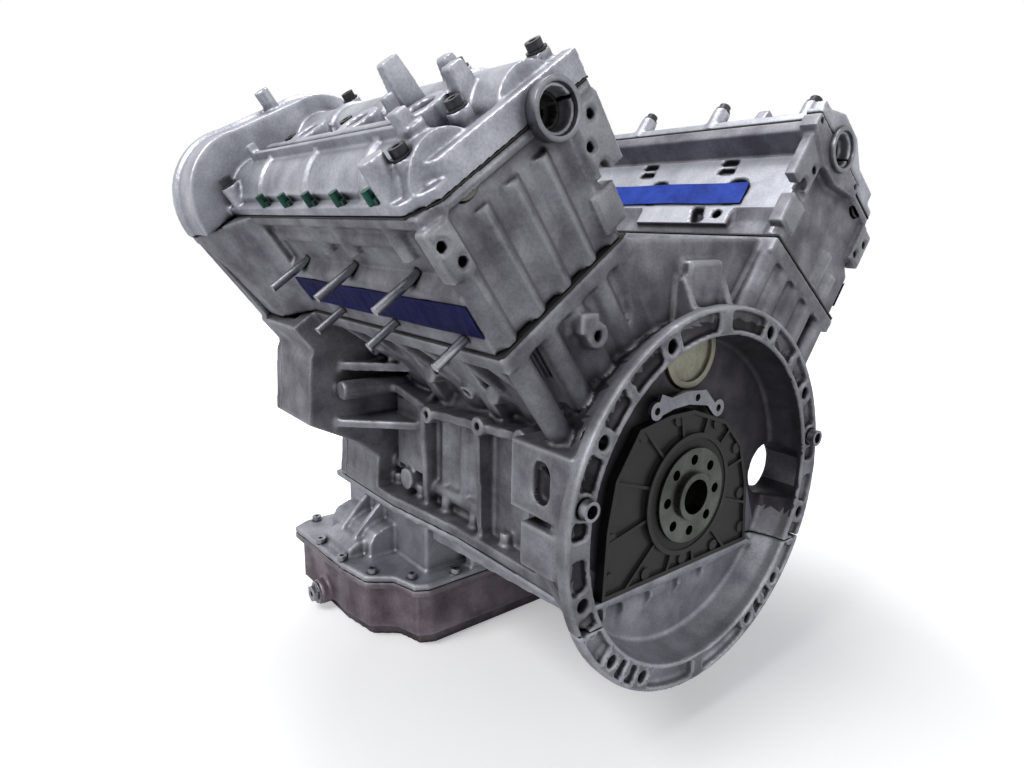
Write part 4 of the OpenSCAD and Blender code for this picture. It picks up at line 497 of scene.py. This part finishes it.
# %% Stick on the tapes
def tape(name, side, corner, up, out, y_from, y_to, width, ports, sink=1.6, raised=1.0):
    """One strip in bank directions: its lower edge runs along corner, its width goes up."""
    bpy.ops.object.select_all(action="DESELECT")
    bpy.ops.mesh.primitive_grid_add(x_subdivisions=150, y_subdivisions=16, size=1)
    strip = bpy.context.object
    strip.name = name
    up, out = Vector(up).normalized(), Vector(out).normalized()
    for vertex in strip.data.vertices:
        along, across = vertex.co.x + 0.5, vertex.co.y + 0.5
        y = y_from + (y_to - y_from) * along
        dip = max([max(0.0, 1 - ((y - p) / 21) ** 2) for p in ports] + [0])
        hem = min(1.0, min(across, 1 - across) * 5)
        wrinkle = 0.3 * math.sin(y * 0.31 + across * 5) * math.sin(y * 0.11)
        wrinkle += 0.15 * math.sin(y * 0.9 + across * 9)
        lift = raised + hem * (wrinkle - sink * dip)
        height = across * width + 0.5 * math.sin(y * 0.05)
        vertex.co = (Vector((corner[0], y, corner[1])) + up * height + out * lift) * MM
    skin_of_tape = strip.modifiers.new("thickness", "SOLIDIFY")
    skin_of_tape.thickness = 0.35 * MM
    bpy.ops.object.modifier_apply(modifier="thickness")
    bpy.ops.object.shade_smooth_by_angle(angle=math.radians(50))
    return lean(strip, side)


def tapes(node_name, strips):
    """Joins the strips of both banks into the piece that stands for a node."""
    bpy.ops.object.select_all(action="DESELECT")
    for strip in strips:
        strip.select_set(True)
    bpy.context.view_layer.objects.active = strips[0]
    bpy.ops.object.join()
    strips[0].name = node_name + "_strips"
    stand_for(strips[0], node_name)


CYLINDER_Y = {side: [BANK_REAR[side] + 58 + BORE_PITCH * i for i in range(3)] for side in (LEFT, RIGHT)}
tapes("exhaust_port_tapes", [
    tape("tape", side, (EXHAUST_FACE, HEAD_Z + 17), (0, 0, 1), (1, 0, 0),
         BANK_REAR[side] + 6, 330, 30, CYLINDER_Y[side])
    for side in (LEFT, RIGHT)])
# The intake face leans inboard by 1.8 degrees, and its tape lies with it, well clear of the ports' rims
tapes("intake_port_tapes", [
    tape("tape", side, (INTAKE_FACE - 0.126, HEAD_Z + 36), (-0.0314, 0, 0.9995), (-0.9995, 0, -0.0314),
         BANK_REAR[side] + 60, 352, 26, CYLINDER_Y[side], 0.5, 1.9)
    for side in (LEFT, RIGHT)])

# %% [markdown]
# ## The open end of the intake camshaft
#
# The intake camshaft of each bank ends in a round sleeve at the gearbox end. The shaft itself is hollow, so
# one looks into a dark hole. Two Booleans, with a wide and a narrow rod, drill the copy of the shaft.

# %% Drill the camshafts and turn their sleeves
def turned_tube(name, side, place, y_from, y_to, outer, inner):
    """A turned tube along Y: an open sleeve is given a wall, and its edges are broken."""
    bpy.ops.object.select_all(action="DESELECT")
    bpy.ops.mesh.primitive_cylinder_add(vertices=96, radius=outer * MM, depth=(y_to - y_from) * MM,
                                        end_fill_type="NOTHING",
                                        location=(place[0] * MM, (y_from + y_to) / 2 * MM, place[1] * MM),
                                        rotation=(math.pi / 2, 0, 0))
    piece = bpy.context.object
    piece.name = name
    wall = piece.modifiers.new("wall", "SOLIDIFY")
    wall.thickness = (outer - inner) * MM
    wall.offset = -1
    bpy.ops.object.modifier_apply(modifier="wall")
    rim = piece.modifiers.new("rim", "BEVEL")
    rim.width = 0.8 * MM
    rim.segments = 2
    rim.limit_method = "ANGLE"
    bpy.ops.object.modifier_apply(modifier="rim")
    bpy.ops.object.shade_smooth_by_angle(angle=math.radians(40))
    return lean(piece, side)


ROD_LENGTH = 80
for side, name in ((LEFT, "left"), (RIGHT, "right")):
    shaft_name = "intake_camshaft_" + name
    shaft = copy_node(shaft_name, shaft_name + "_hollow")
    # A wide bore through the rear journal, then a narrower one on into the shaft
    for radius, end in ((11.2, 14), (7.5, 44)):
        middle = (-CAM_O * MM, (BANK_REAR[side] + end - ROD_LENGTH / 2) * MM, SEAM_Z * MM)
        bpy.ops.object.select_all(action="DESELECT")
        bpy.ops.mesh.primitive_cylinder_add(vertices=48, radius=radius * MM, depth=ROD_LENGTH * MM,
                                            location=middle, rotation=(math.pi / 2, 0, 0))
        rod = lean(bpy.context.object, side)
        bpy.ops.object.select_all(action="DESELECT")
        bpy.context.view_layer.objects.active = shaft
        shaft.select_set(True)
        drill = shaft.modifiers.new("drill", "BOOLEAN")
        drill.object = rod
        bpy.ops.object.modifier_apply(modifier="drill")
        bpy.data.objects.remove(rod)
    bpy.ops.object.shade_smooth_by_angle(angle=math.radians(30))
    stand_for(shaft, shaft_name)
    # The journal's end and its bore are given the black rubber finish
    shaft.data.materials.append(FINISHES["seal_rubber"])
    for face in shaft.data.polygons:
        if face.center.y < (BANK_REAR[side] + 15) * MM:
            face.material_index = len(shaft.data.materials) - 1
    tube = turned_tube("cam_end_tube_" + name, side, (-CAM_O, SEAM_Z),
                       BANK_REAR[side] - 11, BANK_REAR[side] + 1, 22.5, 18)
    dress(tube, "milled_aluminium")
    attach(tube, "engine")
print("camshafts drilled")

# %% [markdown]
# ## The floor
#
# The floor is pale and plain. It glows to the camera alone, more with distance, so that it runs into the
# white background, while the shadow under the engine stays.

# %% Lay the floor
floor_height = cad_box[0].z
bpy.ops.mesh.primitive_plane_add(size=6, location=(0, 0, floor_height))
floor = bpy.context.object
floor.name = "floor"
floor_material = bpy.data.materials.new("pale floor")
floor_material.use_nodes = True
tree = floor_material.node_tree
shader = tree.nodes["Principled BSDF"]
shader.inputs["Base Color"].default_value = colour("#f4f4f4")
shader.inputs["Roughness"].default_value = 0.9
place = add(tree, "TexCoord").outputs["Object"]
distance = add(tree, "VectorMath", {0: place}, operation="LENGTH").outputs["Value"]
seen = add(tree, "LightPath").outputs["Is Camera Ray"]
# The glow rises from a third at 0.35 m from the engine's middle to full at 1 m
rise = ramp(tree, distance, 0.35, 1.0, 0.35, 1.0)
lift = add(tree, "Math", {0: seen, 1: rise}, operation="MULTIPLY").outputs["Value"]
tree.links.new(mix(tree, lift, (0, 0, 0, 1), (1, 1, 1, 1)), shader.inputs["Emission Color"])
shader.inputs["Emission Strength"].default_value = 1.0
floor.data.materials.append(floor_material)


# %% [markdown]
# ## Light
#
# One large soft light stands high on the left, as a window would, a second hangs overhead, and a weak one
# behind keeps the bell readable. The world is white to the camera and to what mirrors it, and grey for the
# rest of the lighting, darker from below, which gives the castings their shaded undersides.

# %% Set the lights
def lamp(name, place, aim, size, power):
    """A square soft light that points at a spot."""
    light = bpy.data.lights.new(name, "AREA")
    light.size = size
    light.energy = power
    holder = bpy.data.objects.new(name, light)
    bpy.context.scene.collection.objects.link(holder)
    holder.location = place
    holder.rotation_euler = (Vector(aim) - Vector(place)).to_track_quat("-Z", "Y").to_euler()


lamp("window", (-1.5, 0.1, 1.5), (0, 0.2, 0.1), 0.9, 22)
lamp("fill", (0.6, -1.6, 0.9), (0, 0.1, 0), 0.9, 2)
lamp("sky", (0.1, 0.5, 2.2), (0, 0.2, 0), 1.0, 22)

world = bpy.data.worlds.new("studio")
bpy.context.scene.world = world
world.use_nodes = True
tree = world.node_tree
path = add(tree, "LightPath")
mirrored = add(tree, "Math", {0: path.outputs["Is Glossy Ray"], 1: path.outputs["Is Transmission Ray"]})
seen = add(tree, "Math", {0: path.outputs["Is Camera Ray"], 1: mirrored.outputs["Value"]},
           use_clamp=True).outputs["Value"]
height = add(tree, "SeparateXYZ", {"Vector": add(tree, "TexCoord").outputs["Generated"]}).outputs["Z"]
glow = mix(tree, ramp(tree, height, -0.3, 0.8, 0, 1), colour("#2c2c30"), colour("#8c8e94"))
tree.links.new(mix(tree, seen, glow, (1, 1, 1, 1)), tree.nodes["Background"].inputs["Color"])
bpy.context.scene.view_settings.view_transform = "Standard"
